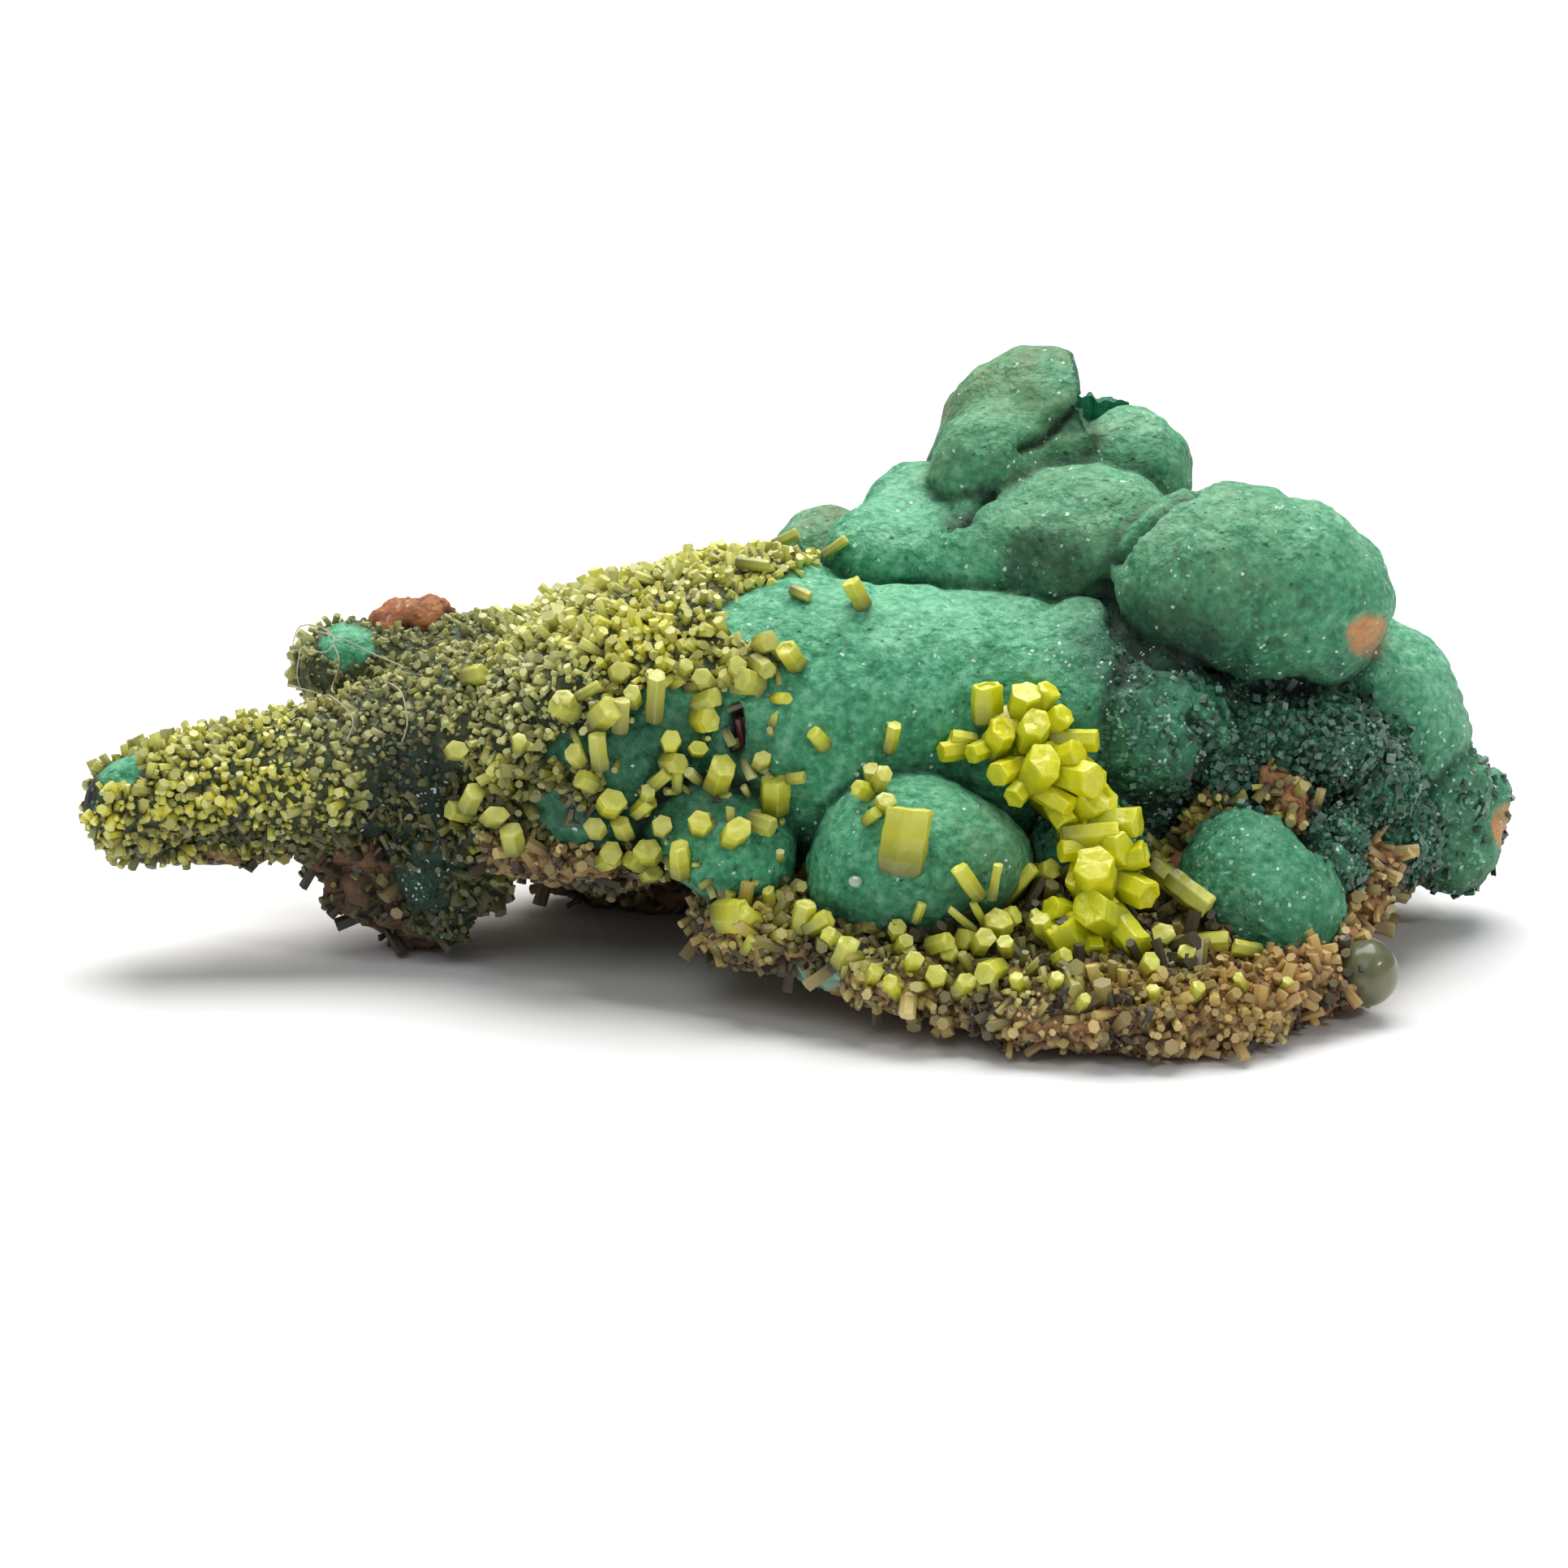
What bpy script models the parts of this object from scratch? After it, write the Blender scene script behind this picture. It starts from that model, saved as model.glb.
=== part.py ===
"""A cabinet specimen of pyromorphite on botryoidal malachite over a limonite matrix.

Frame: metres, +Z up, +X to the right of the display face, +Y away from it.
The origin is the middle of the footprint, on the surface that the specimen stands on.
Lumps are drawn in millimetres. Crystals are placed along lines of sight on to the display face.
"""

import math
import random
from typing import NamedTuple

import bmesh
import bpy
from mathutils import Matrix, Vector, noise
from mathutils.bvhtree import BVHTree

MM = 0.001

# Driving dimensions
SEAM_GAP = 0.32 * MM
SKIN_VOXEL = 0.5 * MM
DRUSE_THICKNESS = 0.9 * MM
MALACHITE_TRIANGLES = 1750
LIMONITE_TRIANGLES = 760
DRUSE_TRIANGLES = 280

LIMONITE_ROUGHNESS = (2.2 * MM, 0.28 * MM)
BEAD_TRIANGLES = 120
SEATED_SHARE = 0.62
DRUSE_SPACING = 2.9 * MM
DRUSE_WIDTHS = (1.1 * MM, 1.7 * MM)
DRUSE_LENGTH = 1.3 * MM
DRUSE_SUNK = 0.12
DRUSE_TILT = 0.3
SHOULDER_ROOM = DRUSE_THICKNESS + DRUSE_LENGTH * (0.5 - DRUSE_SUNK) + SEAM_GAP
DRUSE_TRIES = 1500
ARM_SEED = 3
SHOULDER_SEED = 5
BARE_SIDE_LEAN = math.radians(-36.0)
FRACTURE_LEAN = math.radians(14.0)
SPRAY_DEPTH_TOP = (850.0, -6.2 * MM)
SPRAY_DEPTH_FOOT = (1210.0, -12.4 * MM)
FOOTPRINT_MIDDLE = Vector((0.52, -0.75, 0.0)) * MM

# The display face is seen from the front, a little from above
SIGHT_ELEVATION = math.radians(16.0)
SIGHT_DISTANCE = 230.0 * MM
SIGHT_CENTRE = Vector((0.0, 0.0, 6.87 * MM))
PICTURE_MIDDLE = 966.0
PICTURE_WIDTH_THERE = 65.1 * MM
SIGHT_RIGHT = Vector((1.0, 0.0, 0.0))
SIGHT_AHEAD = Vector((0.0, math.cos(SIGHT_ELEVATION), -math.sin(SIGHT_ELEVATION)))
SIGHT_UP = SIGHT_RIGHT.cross(SIGHT_AHEAD)
PIXEL = PICTURE_WIDTH_THERE / (2.0 * PICTURE_MIDDLE)


class Lobe(NamedTuple):
    """A rounded lump: its middle and its three radii, in millimetres, and its turn about Y in degrees.

    broken_at is how far right of its middle a fracture has taken the rest of it away, in millimetres.
    """

    x: float
    y: float
    z: float
    rx: float
    ry: float
    rz: float
    turn: float = 0.0
    broken_at: float | None = None


class Crystal(NamedTuple):
    """A hexagonal prism seen at a pixel: width and length in millimetres.

    lean is its axis in the picture, counter-clockwise from the right, in degrees.
    facing is how far the axis turns out of the picture towards the viewer, in degrees.
    lift is how far its middle stands off the surface that it grows on, in millimetres.
    """

    seen_x: float
    seen_y: float
    width: float
    length: float
    lean: float
    facing: float
    lift: float = 0.0


MALACHITE_LOBES = {
    "core_left": Lobe(-5.0, 1.0, 8.5, 7.5, 5.5, 4.2),
    "core_mid": Lobe(6.0, 1.5, 8.5, 9.5, 8.0, 5.4),
    "core_right": Lobe(17.0, 1.5, 8.0, 8.5, 7.0, 5.4),
    "shoulder_low": Lobe(-7.5, -2.0, 8.7, 5.4, 5.2, 5.0),
    "shoulder_mid": Lobe(-4.3, -1.2, 10.7, 5.3, 5.2, 5.1),
    "shoulder_top": Lobe(-0.9, 1.0, 12.2, 4.3, 4.4, 3.9),
    "shoulder_bare": Lobe(1.1, -2.2, 10.0, 5.8, 5.8, 5.6),
    "middle": Lobe(8.6, -0.8, 10.0, 5.6, 5.8, 5.0),
    "middle_right": Lobe(12.2, -2.2, 10.2, 3.6, 4.4, 4.6),
    "ridge": Lobe(12.1, 3.0, 16.4, 4.7, 4.4, 3.3),
    "ridge_front": Lobe(11.3, 1.0, 15.9, 2.8, 2.4, 2.3),
    "left_mid": Lobe(4.1, 2.8, 15.6, 2.5, 2.5, 2.5),
    "mid_gap": Lobe(7.6, 2.2, 15.5, 2.7, 2.7, 2.7),
    "behind_left": Lobe(5.9, 6.0, 16.6, 2.6, 2.6, 2.6),
    "crown_left": Lobe(11.2, 8.0, 18.9, 4.5, 3.6, 4.6, 0.0, 1.5),
    "crown_front": Lobe(8.4, 4.6, 19.3, 2.3, 2.3, 2.5),
    "crown_right": Lobe(14.5, 6.4, 18.6, 2.7, 2.7, 2.8),
    "grey_back": Lobe(2.2, 8.8, 13.7, 2.8, 2.8, 2.8),
    "big_left": Lobe(16.9, -1.0, 15.6, 3.7, 3.8, 3.3, -8.0),
    "big_right": Lobe(20.8, -0.6, 15.2, 4.1, 4.2, 4.0),
    "sparkling": Lobe(14.9, -4.0, 10.4, 3.3, 3.5, 3.2),
    "spray_seat": Lobe(12.3, -6.4, 5.6, 2.3, 2.4, 2.9),
    "crown_plate": Lobe(14.0, 8.6, 20.4, 1.3, 1.6, 1.2),
    "front_dome": Lobe(5.0, -8.2, 5.7, 4.0, 4.0, 3.9),
    "front_bump": Lobe(7.8, -8.8, 6.1, 2.1, 2.2, 2.0),
    "low_bump": Lobe(-2.6, -6.0, 7.0, 3.1, 2.8, 2.2),
    "low_bump_front": Lobe(-1.8, -7.7, 5.8, 2.1, 2.0, 1.6),
    "right_low": Lobe(18.6, -7.6, 5.3, 2.5, 2.6, 2.6),
    "right_low_front": Lobe(20.0, -8.4, 3.8, 2.5, 2.5, 2.3),
    "right_small": Lobe(22.0, -6.0, 5.8, 1.6, 1.7, 1.7),
    "rough_1": Lobe(19.8, -3.2, 10.0, 1.9, 2.1, 1.7),
    "rough_2": Lobe(22.2, -3.0, 9.4, 2.2, 2.3, 1.9),
    "rough_3": Lobe(20.2, -3.6, 7.8, 2.2, 2.3, 1.6),
    "rough_4": Lobe(24.0, -2.2, 7.6, 2.1, 2.2, 1.9),
    "rough_5": Lobe(17.6, -4.4, 8.2, 1.4, 1.6, 1.4),
    "outer_top": Lobe(24.3, 2.6, 10.6, 2.9, 3.2, 2.9),
    "outer_green": Lobe(25.7, 2.6, 8.3, 3.0, 3.2, 3.3),
    "right_end": Lobe(28.1, 3.0, 3.5, 2.2, 2.4, 2.2),
    "right_knob": Lobe(24.9, -1.2, 4.9, 2.2, 2.2, 2.1),
    "right_shelf": Lobe(27.6, 1.8, 6.2, 2.0, 2.1, 1.8),
    "right_tip": Lobe(29.4, 4.0, 5.1, 1.4, 1.5, 1.3),
    "arm_root": Lobe(-11.8, 0.0, 8.8, 3.9, 4.0, 3.7),
    "arm_upper": Lobe(-15.7, -0.2, 8.0, 3.5, 3.5, 3.3, 6.0),
    "arm_middle": Lobe(-19.6, -1.1, 7.5, 3.3, 3.0, 2.8, 8.0),
    "arm_lower": Lobe(-23.4, -2.0, 7.3, 2.9, 2.3, 2.0, 10.0),
    "arm_end": Lobe(-26.5, -2.8, 6.9, 2.1, 1.9, 1.7, 8.0),
    "ledge_left": Lobe(-19.3, 5.6, 10.4, 1.7, 1.9, 1.6),
    "ledge_mid": Lobe(-16.9, 5.4, 10.6, 1.9, 2.0, 1.6),
    "ledge_root": Lobe(-14.0, 4.6, 9.4, 3.2, 3.0, 2.8),
    "ledge_right": Lobe(-12.2, 5.4, 10.8, 2.0, 2.1, 1.8),
    "foot_face": Lobe(-14.2, -2.9, 4.6, 1.9, 1.6, 3.4, -8.0),
    "foot_patch": Lobe(-12.3, -3.6, 5.0, 1.3, 1.4, 1.8),
    "back_left": Lobe(-7.0, 5.6, 9.3, 5.2, 4.4, 4.4),
    "back_mid": Lobe(0.5, 8.2, 9.2, 5.2, 4.6, 4.8),
    "back_right": Lobe(8.6, 9.6, 10.4, 5.4, 4.6, 5.2),
    "back_crown": Lobe(13.6, 9.6, 14.8, 3.6, 3.4, 3.6),
    "back_far": Lobe(17.6, 8.0, 11.0, 4.8, 4.4, 4.4),
    "back_outer": Lobe(23.2, 6.8, 7.2, 3.8, 3.8, 3.8),
    "back_low": Lobe(13.6, 12.4, 6.6, 3.4, 2.8, 2.8),
    "back_low_left": Lobe(4.0, 12.2, 6.2, 3.6, 2.6, 2.8),
}

BEAD = {"bead": Lobe(23.3, -10.1, 1.9, 1.3, 1.3, 1.35)}

LIMONITE_LOBES = {
    "rim_left": Lobe(-0.2, -8.2, 3.9, 3.9, 3.2, 1.1, -8.0),
    "rim_mid": Lobe(5.6, -10.2, 2.9, 5.2, 3.8, 1.5, 8.0),
    "rim_front": Lobe(13.2, -12.2, 1.5, 7.2, 4.2, 1.9, 2.0),
    "rim_right": Lobe(19.4, -8.8, 1.7, 3.9, 4.0, 1.9),
    "bead_seat": Lobe(21.6, -8.4, 1.9, 1.9, 1.8, 1.7),
    "base_front": Lobe(12.0, -5.0, 3.0, 11.0, 6.5, 2.6),
    "base_mid": Lobe(6.0, 1.5, 4.4, 9.5, 7.0, 2.2),
    "base_right": Lobe(21.0, 1.0, 2.0, 6.5, 6.5, 2.4),
    "right_edge": Lobe(25.6, 1.6, 2.4, 2.2, 4.4, 1.6),
    "base_back": Lobe(9.5, 8.6, 2.4, 11.5, 5.4, 2.9),
    "base_core": Lobe(15.0, 3.2, 3.2, 4.6, 4.2, 2.6),
    "base_left": Lobe(-8.0, 0.6, 6.1, 8.4, 5.6, 1.7),
    "underside_left": Lobe(-7.6, -4.4, 5.6, 4.6, 2.6, 1.1),
    "arm_keel": Lobe(-20.2, -0.6, 5.3, 5.6, 2.2, 1.2, 3.0),
    "keel_end": Lobe(-25.6, -1.8, 5.6, 2.9, 1.6, 0.9),
    "tip_tan": Lobe(-28.4, -2.9, 5.9, 1.3, 1.3, 1.2),
    "tip_dark": Lobe(-28.8, -2.8, 7.4, 0.9, 1.1, 1.5),
    "foot_keel": Lobe(-15.7, -0.5, 2.5, 2.7, 2.4, 3.0, -20.0),
    "foot_root": Lobe(-16.8, 0.2, 4.6, 4.0, 3.0, 2.0, 14.0),
    "ledge_core": Lobe(-15.6, 6.0, 10.1, 2.3, 1.6, 3.6, 8.0),
    "ledge_base": Lobe(-13.4, 4.2, 6.4, 3.6, 3.4, 1.8),
    "rust_seam_1": Lobe(20.9, -5.2, 6.6, 1.1, 1.4, 3.0, -28.0),
    "rust_seam_2": Lobe(17.0, -5.6, 5.6, 1.2, 1.2, 2.8, 10.0),
    "rust_seam_3": Lobe(23.6, -4.6, 3.6, 1.3, 1.6, 2.2, 20.0),
}


SPRAY = (
    Crystal(1217, 868, 1.15, 1.6, 92, 25, 0.3),
    Crystal(1229, 911, 1.2, 1.4, 60, 60, 0.5),
    Crystal(1187, 911, 0.75, 1.1, 170, 15, 0.0),
    Crystal(1176, 924, 0.85, 1.2, 190, 25, 0.0),
    Crystal(1208, 925, 0.9, 1.1, 200, 50, 0.4),
    Crystal(1262, 868, 1.35, 1.6, 80, 65, 0.5),
    Crystal(1283, 866, 1.1, 1.5, 60, 40, 0.3),
    Crystal(1272, 905, 1.4, 1.7, 75, 70, 0.9),
    Crystal(1300, 893, 1.05, 1.4, 50, 45, 0.6),
    Crystal(1322, 912, 0.95, 2.0, 0, 12, 0.5),
    Crystal(1280, 950, 1.6, 1.8, 60, 72, 1.3),
    Crystal(1308, 935, 1.2, 1.8, 20, 50, 0.9),
    Crystal(1328, 958, 1.5, 1.9, -10, 60, 1.1),
    Crystal(1243, 950, 1.1, 1.5, 200, 55, 0.7),
    Crystal(1258, 972, 1.0, 1.3, 230, 50, 0.7),
    Crystal(1292, 980, 1.0, 2.2, -30, 30, 0.7),
    Crystal(1305, 1000, 1.1, 1.5, -60, 35, 0.4),
    Crystal(1375, 1015, 1.4, 2.0, 5, 30, 0.6),
    Crystal(1345, 1030, 1.1, 2.4, 5, 20, 0.9),
    Crystal(1330, 1045, 1.0, 1.7, 185, 30, 0.6),
    Crystal(1367, 1045, 1.3, 1.6, -5, 55, 0.9),
    Crystal(1350, 1083, 1.8, 2.0, 100, 65, 1.1),
    Crystal(1389, 1058, 1.2, 1.7, 20, 35, 0.6),
    Crystal(1396, 1095, 1.3, 1.7, -25, 50, 0.6),
    Crystal(1357, 1128, 1.8, 1.9, 150, 60, 1.1),
    Crystal(1385, 1145, 1.3, 2.2, -50, 45, 1.0),
    Crystal(1320, 1162, 1.6, 2.1, 120, 25, 0.7),
    Crystal(1345, 1163, 1.1, 1.3, -80, 60, 0.7),
    Crystal(1360, 1183, 0.8, 1.0, -70, 50, 0.4),
    Crystal(1310, 1125, 1.1, 1.5, 160, 50, 0.4),
    Crystal(1381, 1196, 1.0, 1.5, 80, 35, 0.3),
    Crystal(1375, 1219, 1.0, 1.2, 240, 65, 0.4),
    Crystal(1235, 912, 1.7, 2.4, 80, 60, -0.7),
    Crystal(1272, 930, 2.0, 2.8, 70, 60, -0.6),
    Crystal(1308, 965, 2.0, 2.8, 40, 60, -0.6),
    Crystal(1338, 1005, 2.0, 2.8, 60, 60, -0.5),
    Crystal(1355, 1050, 2.1, 2.9, 80, 60, -0.5),
    Crystal(1355, 1100, 2.1, 2.9, 120, 60, -0.5),
    Crystal(1350, 1145, 2.0, 2.8, 90, 60, -0.4),
    Crystal(1366, 1190, 1.6, 2.4, 60, 60, -0.4),
)

SINGLE_CRYSTALS = {
    "crystal_ridge": Crystal(1055, 743, 0.85, 1.25, 120, 20),
    "crystal_dome_large": Crystal(1120, 1041, 1.85, 2.6, 82, 8),
    "crystal_slope_left": Crystal(1010, 910, 0.7, 0.95, 130, 30),
    "crystal_slope_right": Crystal(1093, 908, 0.75, 1.2, 78, 25),
    "crystal_shoulder_1": Crystal(975, 816, 0.95, 1.2, 125, 45),
    "crystal_shoulder_2": Crystal(962, 863, 0.6, 0.8, 0, 50),
    "crystal_hollow": Crystal(958, 974, 1.3, 1.5, 88, 30),
    "crystal_shoulder_3": Crystal(885, 961, 1.2, 1.5, 70, 45),
    "crystal_shoulder_4": Crystal(793, 991, 0.8, 1.0, 40, 30),
    "crystal_bump_1": Crystal(865, 1021, 1.0, 1.1, 80, 75),
    "crystal_bump_2": Crystal(905, 1034, 1.1, 1.2, 60, 60),
    "crystal_bump_3": Crystal(808, 1045, 1.05, 1.1, 90, 70),
    "crystal_bump_4": Crystal(848, 1060, 1.0, 1.4, 95, 30),
    "crystal_bump_5": Crystal(907, 1103, 1.35, 1.4, 0, 35, 0.9),
    "crystal_shoulder_6": Crystal(870, 888, 1.0, 1.1, 0, 55),
    "crystal_shoulder_7": Crystal(862, 922, 0.75, 0.8, 60, 78),
    "crystal_shoulder_8": Crystal(826, 912, 0.9, 0.9, 80, 78),
    "crystal_shoulder_9": Crystal(754, 984, 1.1, 1.1, 60, 65),
    "needle_low": Crystal(1184, 1088, 0.75, 1.6, 125, 20, 0.4),
    "needle_long": Crystal(1254, 1112, 0.55, 2.1, 50, 25, 0.5),
}

SHOULDER_CRYSTALS = (
    Crystal(808, 865, 0.95, 2.0, 85, 25, 0.2),
    Crystal(748, 883, 1.15, 1.3, 40, 50, 0.3),
    Crystal(705, 876, 0.9, 1.3, 100, 50, 0.4),
    Crystal(740, 925, 0.75, 1.6, 95, 30, 0.3),
    Crystal(925, 842, 1.0, 1.1, 160, 40, 0.2),
)

PAIR = (
    Crystal(1466, 1111, 1.05, 2.1, -38, 15, 1.0),
    Crystal(1468, 1082, 1.0, 2.0, -40, 15, 0.6),
)

RIM_CRYSTALS = (
    Crystal(1440, 1163, 0.95, 1.4, 100, 70, 0.1),
    Crystal(1487, 1171, 0.85, 2.1, 3, 8, 0.1),
    Crystal(1541, 1179, 0.7, 1.2, 170, 15, 0.1),
    Crystal(1218, 1160, 1.15, 1.4, 90, 55, 0.4),
    Crystal(1187, 1166, 0.9, 1.2, 170, 45, 0.2),
    Crystal(1227, 1206, 1.0, 1.2, 200, 55, 0.2),
    Crystal(1156, 1204, 0.9, 1.1, 90, 75, 0.2),
    Crystal(1151, 1178, 0.8, 1.1, 20, 40, 0.2),
    Crystal(1128, 1195, 0.75, 1.0, 60, 60, 0.1),
    Crystal(1098, 1160, 0.8, 1.1, 90, 60, 0.1),
    Crystal(1050, 1180, 0.9, 1.3, 70, 40, 0.1),
    Crystal(1030, 1175, 0.8, 1.2, 130, 40, 0.1),
    Crystal(990, 1140, 0.9, 1.6, 80, 30, 0.1),
    Crystal(1010, 1150, 0.8, 1.2, 30, 30, 0.1),
    Crystal(930, 1140, 0.9, 1.1, 150, 50, 0.1),
    Crystal(1075, 1200, 0.7, 1.1, 60, 50, 0.0),
    Crystal(1100, 1215, 0.7, 1.1, 120, 50, 0.0),
    Crystal(1190, 1225, 0.8, 1.1, 60, 50, 0.0),
    Crystal(1260, 1220, 0.8, 1.2, 110, 40, 0.0),
    Crystal(1300, 1215, 0.8, 1.2, 70, 50, 0.0),
    Crystal(1330, 1240, 0.8, 1.2, 60, 50, 0.0),
    Crystal(1420, 1235, 0.8, 1.2, 100, 50, 0.0),
    Crystal(1470, 1225, 0.8, 1.2, 60, 40, 0.0),
    Crystal(1530, 1220, 0.8, 1.2, 120, 40, 0.0),
    Crystal(1580, 1220, 0.8, 1.2, 70, 40, 0.0),
)

ARM_LOBES = ("arm_root", "arm_upper", "arm_middle", "arm_lower", "arm_end")
SHOULDER_LOBES = ("shoulder_low", "shoulder_mid", "shoulder_top")


def clear_scene():
    """Removes whatever the startup scene holds."""
    for obj in list(bpy.data.objects):
        bpy.data.objects.remove(obj, do_unlink=True)


def make_material(name, colour, roughness):
    """A Principled material of one colour."""
    material = bpy.data.materials.new(name)
    material.use_nodes = True
    shader = material.node_tree.nodes["Principled BSDF"]
    shader.inputs["Base Color"].default_value = (*colour, 1.0)
    shader.inputs["Roughness"].default_value = roughness
    shader.inputs["Metallic"].default_value = 0.0
    return material


def object_from(name, mesh, material=None):
    """Links a mesh as a named object of one material."""
    obj = bpy.data.objects.new(name, mesh)
    bpy.context.scene.collection.objects.link(obj)
    if material:
        mesh.materials.append(material)
    return obj


def object_from_shape(name, shape, material=None):
    """Turns a bmesh into a named object and frees it."""
    mesh = bpy.data.meshes.new(name)
    shape.to_mesh(mesh)
    shape.free()
    return object_from(name, mesh, material)


def hide_helper(obj):
    """Marks an object as a cutter or guide, which is no part of the specimen."""
    obj.hide_render = True
    obj.display_type = "WIRE"
    return obj


def settled_mesh(obj):
    """The object's mesh as its modifiers leave it."""
    graph = bpy.context.evaluated_depsgraph_get()
    graph.update()
    return bpy.data.meshes.new_from_object(obj.evaluated_get(graph), depsgraph=graph)


def apply_modifiers(obj):
    """Puts the modified mesh in the object and drops the modifiers."""
    mesh = settled_mesh(obj)
    old = obj.data
    obj.modifiers.clear()
    obj.data = mesh
    bpy.data.meshes.remove(old)
    return obj


def break_lobe(shape, points, middle, reach):
    """Takes away one lobe's right-hand side beyond a fracture that leans over it, and closes the break."""
    across = Vector((math.cos(FRACTURE_LEAN), 0.0, math.sin(FRACTURE_LEAN)))
    faces = {face for point in points for face in point.link_faces}
    edges = {edge for face in faces for edge in face.edges}
    made = bmesh.ops.bisect_plane(
        shape,
        geom=[*points, *edges, *faces],
        plane_co=middle + across * reach,
        plane_no=across,
        clear_outer=True,
    )
    rim = [part for part in made["geom_cut"] if isinstance(part, bmesh.types.BMEdge)]
    bmesh.ops.holes_fill(shape, edges=rim)


def joined_lobes(lobes, grow):
    """A bmesh of overlapping ellipsoids, each grown by the same amount."""
    shape = bmesh.new()
    for lobe in lobes:
        radii = [radius * MM + grow for radius in (lobe.rx, lobe.ry, lobe.rz)]
        place = Matrix.Translation(Vector((lobe.x, lobe.y, lobe.z)) * MM)
        turn = Matrix.Rotation(math.radians(lobe.turn), 4, "Y")
        size = Matrix.Diagonal((*radii, 1.0))
        made = bmesh.ops.create_icosphere(shape, subdivisions=4, radius=1.0, matrix=place @ turn @ size)
        if lobe.broken_at is not None:
            break_lobe(shape, made["verts"], place.translation, lobe.broken_at * MM + grow)
    return shape


def roughen(mesh, size, height):
    """Moves each point along its normal by a fractal noise."""
    for vertex in mesh.vertices:
        lift = noise.fractal(vertex.co / size, 0.9, 2.1, 4)
        vertex.co += vertex.normal * lift * height


def fused_lumps(name, lobes, triangles, material=None, grow=0.0, rough=None):
    """One closed skin round overlapping lumps, thinned to about the triangles asked for."""
    obj = object_from_shape(name, joined_lobes(lobes, grow), material)
    remesh = obj.modifiers.new("one skin", "REMESH")
    remesh.mode = "VOXEL"
    remesh.voxel_size = SKIN_VOXEL
    apply_modifiers(obj)
    if rough:
        roughen(obj.data, *rough)
    thin = obj.modifiers.new("fewer faces", "DECIMATE")
    thin.ratio = triangles / (2 * len(obj.data.polygons))
    return apply_modifiers(obj)


def cut(obj, cutter, operation="DIFFERENCE"):
    """Adds a Boolean that takes the cutter away."""
    boolean = obj.modifiers.new(f"{operation.lower()} {cutter.name}", "BOOLEAN")
    boolean.operation = operation
    boolean.object = cutter
    boolean.solver = "EXACT"
    return boolean


def block(name, low, high, turn=None, pivot=None):
    """A box cutter between two corners in millimetres, turned about a pivot."""
    shape = bmesh.new()
    low, high = Vector(low) * MM, Vector(high) * MM
    size = Matrix.Diagonal((*(high - low), 1.0))
    bmesh.ops.create_cube(shape, size=1.0, matrix=Matrix.Translation((low + high) / 2) @ size)
    if turn:
        bmesh.ops.rotate(shape, verts=shape.verts, cent=Vector(pivot) * MM, matrix=turn)
    return hide_helper(object_from_shape(name, shape))


def keep_largest(obj):
    """Leaves only the biggest connected body of a mesh, so that no loose chip stays after a cut."""
    shape = bmesh.new()
    shape.from_mesh(obj.data)
    unseen = set(shape.verts)
    bodies = []
    while unseen:
        body, edge = set(), [unseen.pop()]
        while edge:
            point = edge.pop()
            body.add(point)
            near = {link.other_vert(point) for link in point.link_edges} & unseen
            unseen -= near
            edge.extend(near)
        bodies.append(body)
    bodies.sort(key=len)
    for body in bodies[:-1]:
        bmesh.ops.delete(shape, geom=list(body), context="VERTS")
    shape.to_mesh(obj.data)
    shape.free()
    return obj


def room_round(obj):
    """A hidden copy of an object, swollen by the seam's gap, which cuts a neighbour back from it."""
    room = hide_helper(object_from(f"room_round_{obj.name}", settled_mesh(obj)))
    swell = room.modifiers.new("seam gap", "DISPLACE")
    swell.mid_level = 0.0
    swell.strength = SEAM_GAP
    return apply_modifiers(room)


def sight_line(seen_x, seen_y):
    """The viewer's eye and the direction in which a pixel is seen."""
    eye = SIGHT_CENTRE - SIGHT_AHEAD * SIGHT_DISTANCE
    across = (seen_x - PICTURE_MIDDLE) * PIXEL
    above = (PICTURE_MIDDLE - seen_y) * PIXEL
    direction = SIGHT_AHEAD * SIGHT_DISTANCE + SIGHT_RIGHT * across + SIGHT_UP * above
    return eye, direction.normalized()


def surface_tree(*objects):
    """A search tree over the faces of several objects, as their modifiers leave them."""
    points, faces = [], []
    for obj in objects:
        mesh = settled_mesh(obj)
        start = len(points)
        points += [vertex.co.copy() for vertex in mesh.vertices]
        faces += [[start + i for i in polygon.vertices] for polygon in mesh.polygons]
        bpy.data.meshes.remove(mesh)
    return BVHTree.FromPolygons(points, faces)


def crystal_axis(crystal):
    """The direction of a crystal's long axis."""
    lean, facing = math.radians(crystal.lean), math.radians(crystal.facing)
    in_picture = SIGHT_RIGHT * math.cos(lean) + SIGHT_UP * math.sin(lean)
    return in_picture * math.cos(facing) - SIGHT_AHEAD * math.sin(facing)


def seat_on_surface(crystal, tree):
    """The middle of a crystal that grows on the first surface met along its sight line."""
    eye, direction = sight_line(crystal.seen_x, crystal.seen_y)
    place, normal, _, _ = tree.ray_cast(eye, direction)
    along = abs(crystal_axis(crystal).dot(normal))
    across = math.sqrt(max(0.0, 1.0 - along * along))
    half_height = (crystal.length * along + crystal.width * across) / 2.0
    return place + normal * (half_height * SEATED_SHARE + crystal.lift) * MM


def seat_in_spray(crystal, _tree):
    """The middle of a crystal of the spray, which runs down and forwards like a curtain."""
    eye, direction = sight_line(crystal.seen_x, crystal.seen_y)
    (top, depth_top), (foot, depth_foot) = SPRAY_DEPTH_TOP, SPRAY_DEPTH_FOOT
    depth = depth_top + (depth_foot - depth_top) * (crystal.seen_y - top) / (foot - top)
    reach = (depth - eye.y) / direction.y
    return eye + direction * (reach - crystal.lift * MM)


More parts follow.
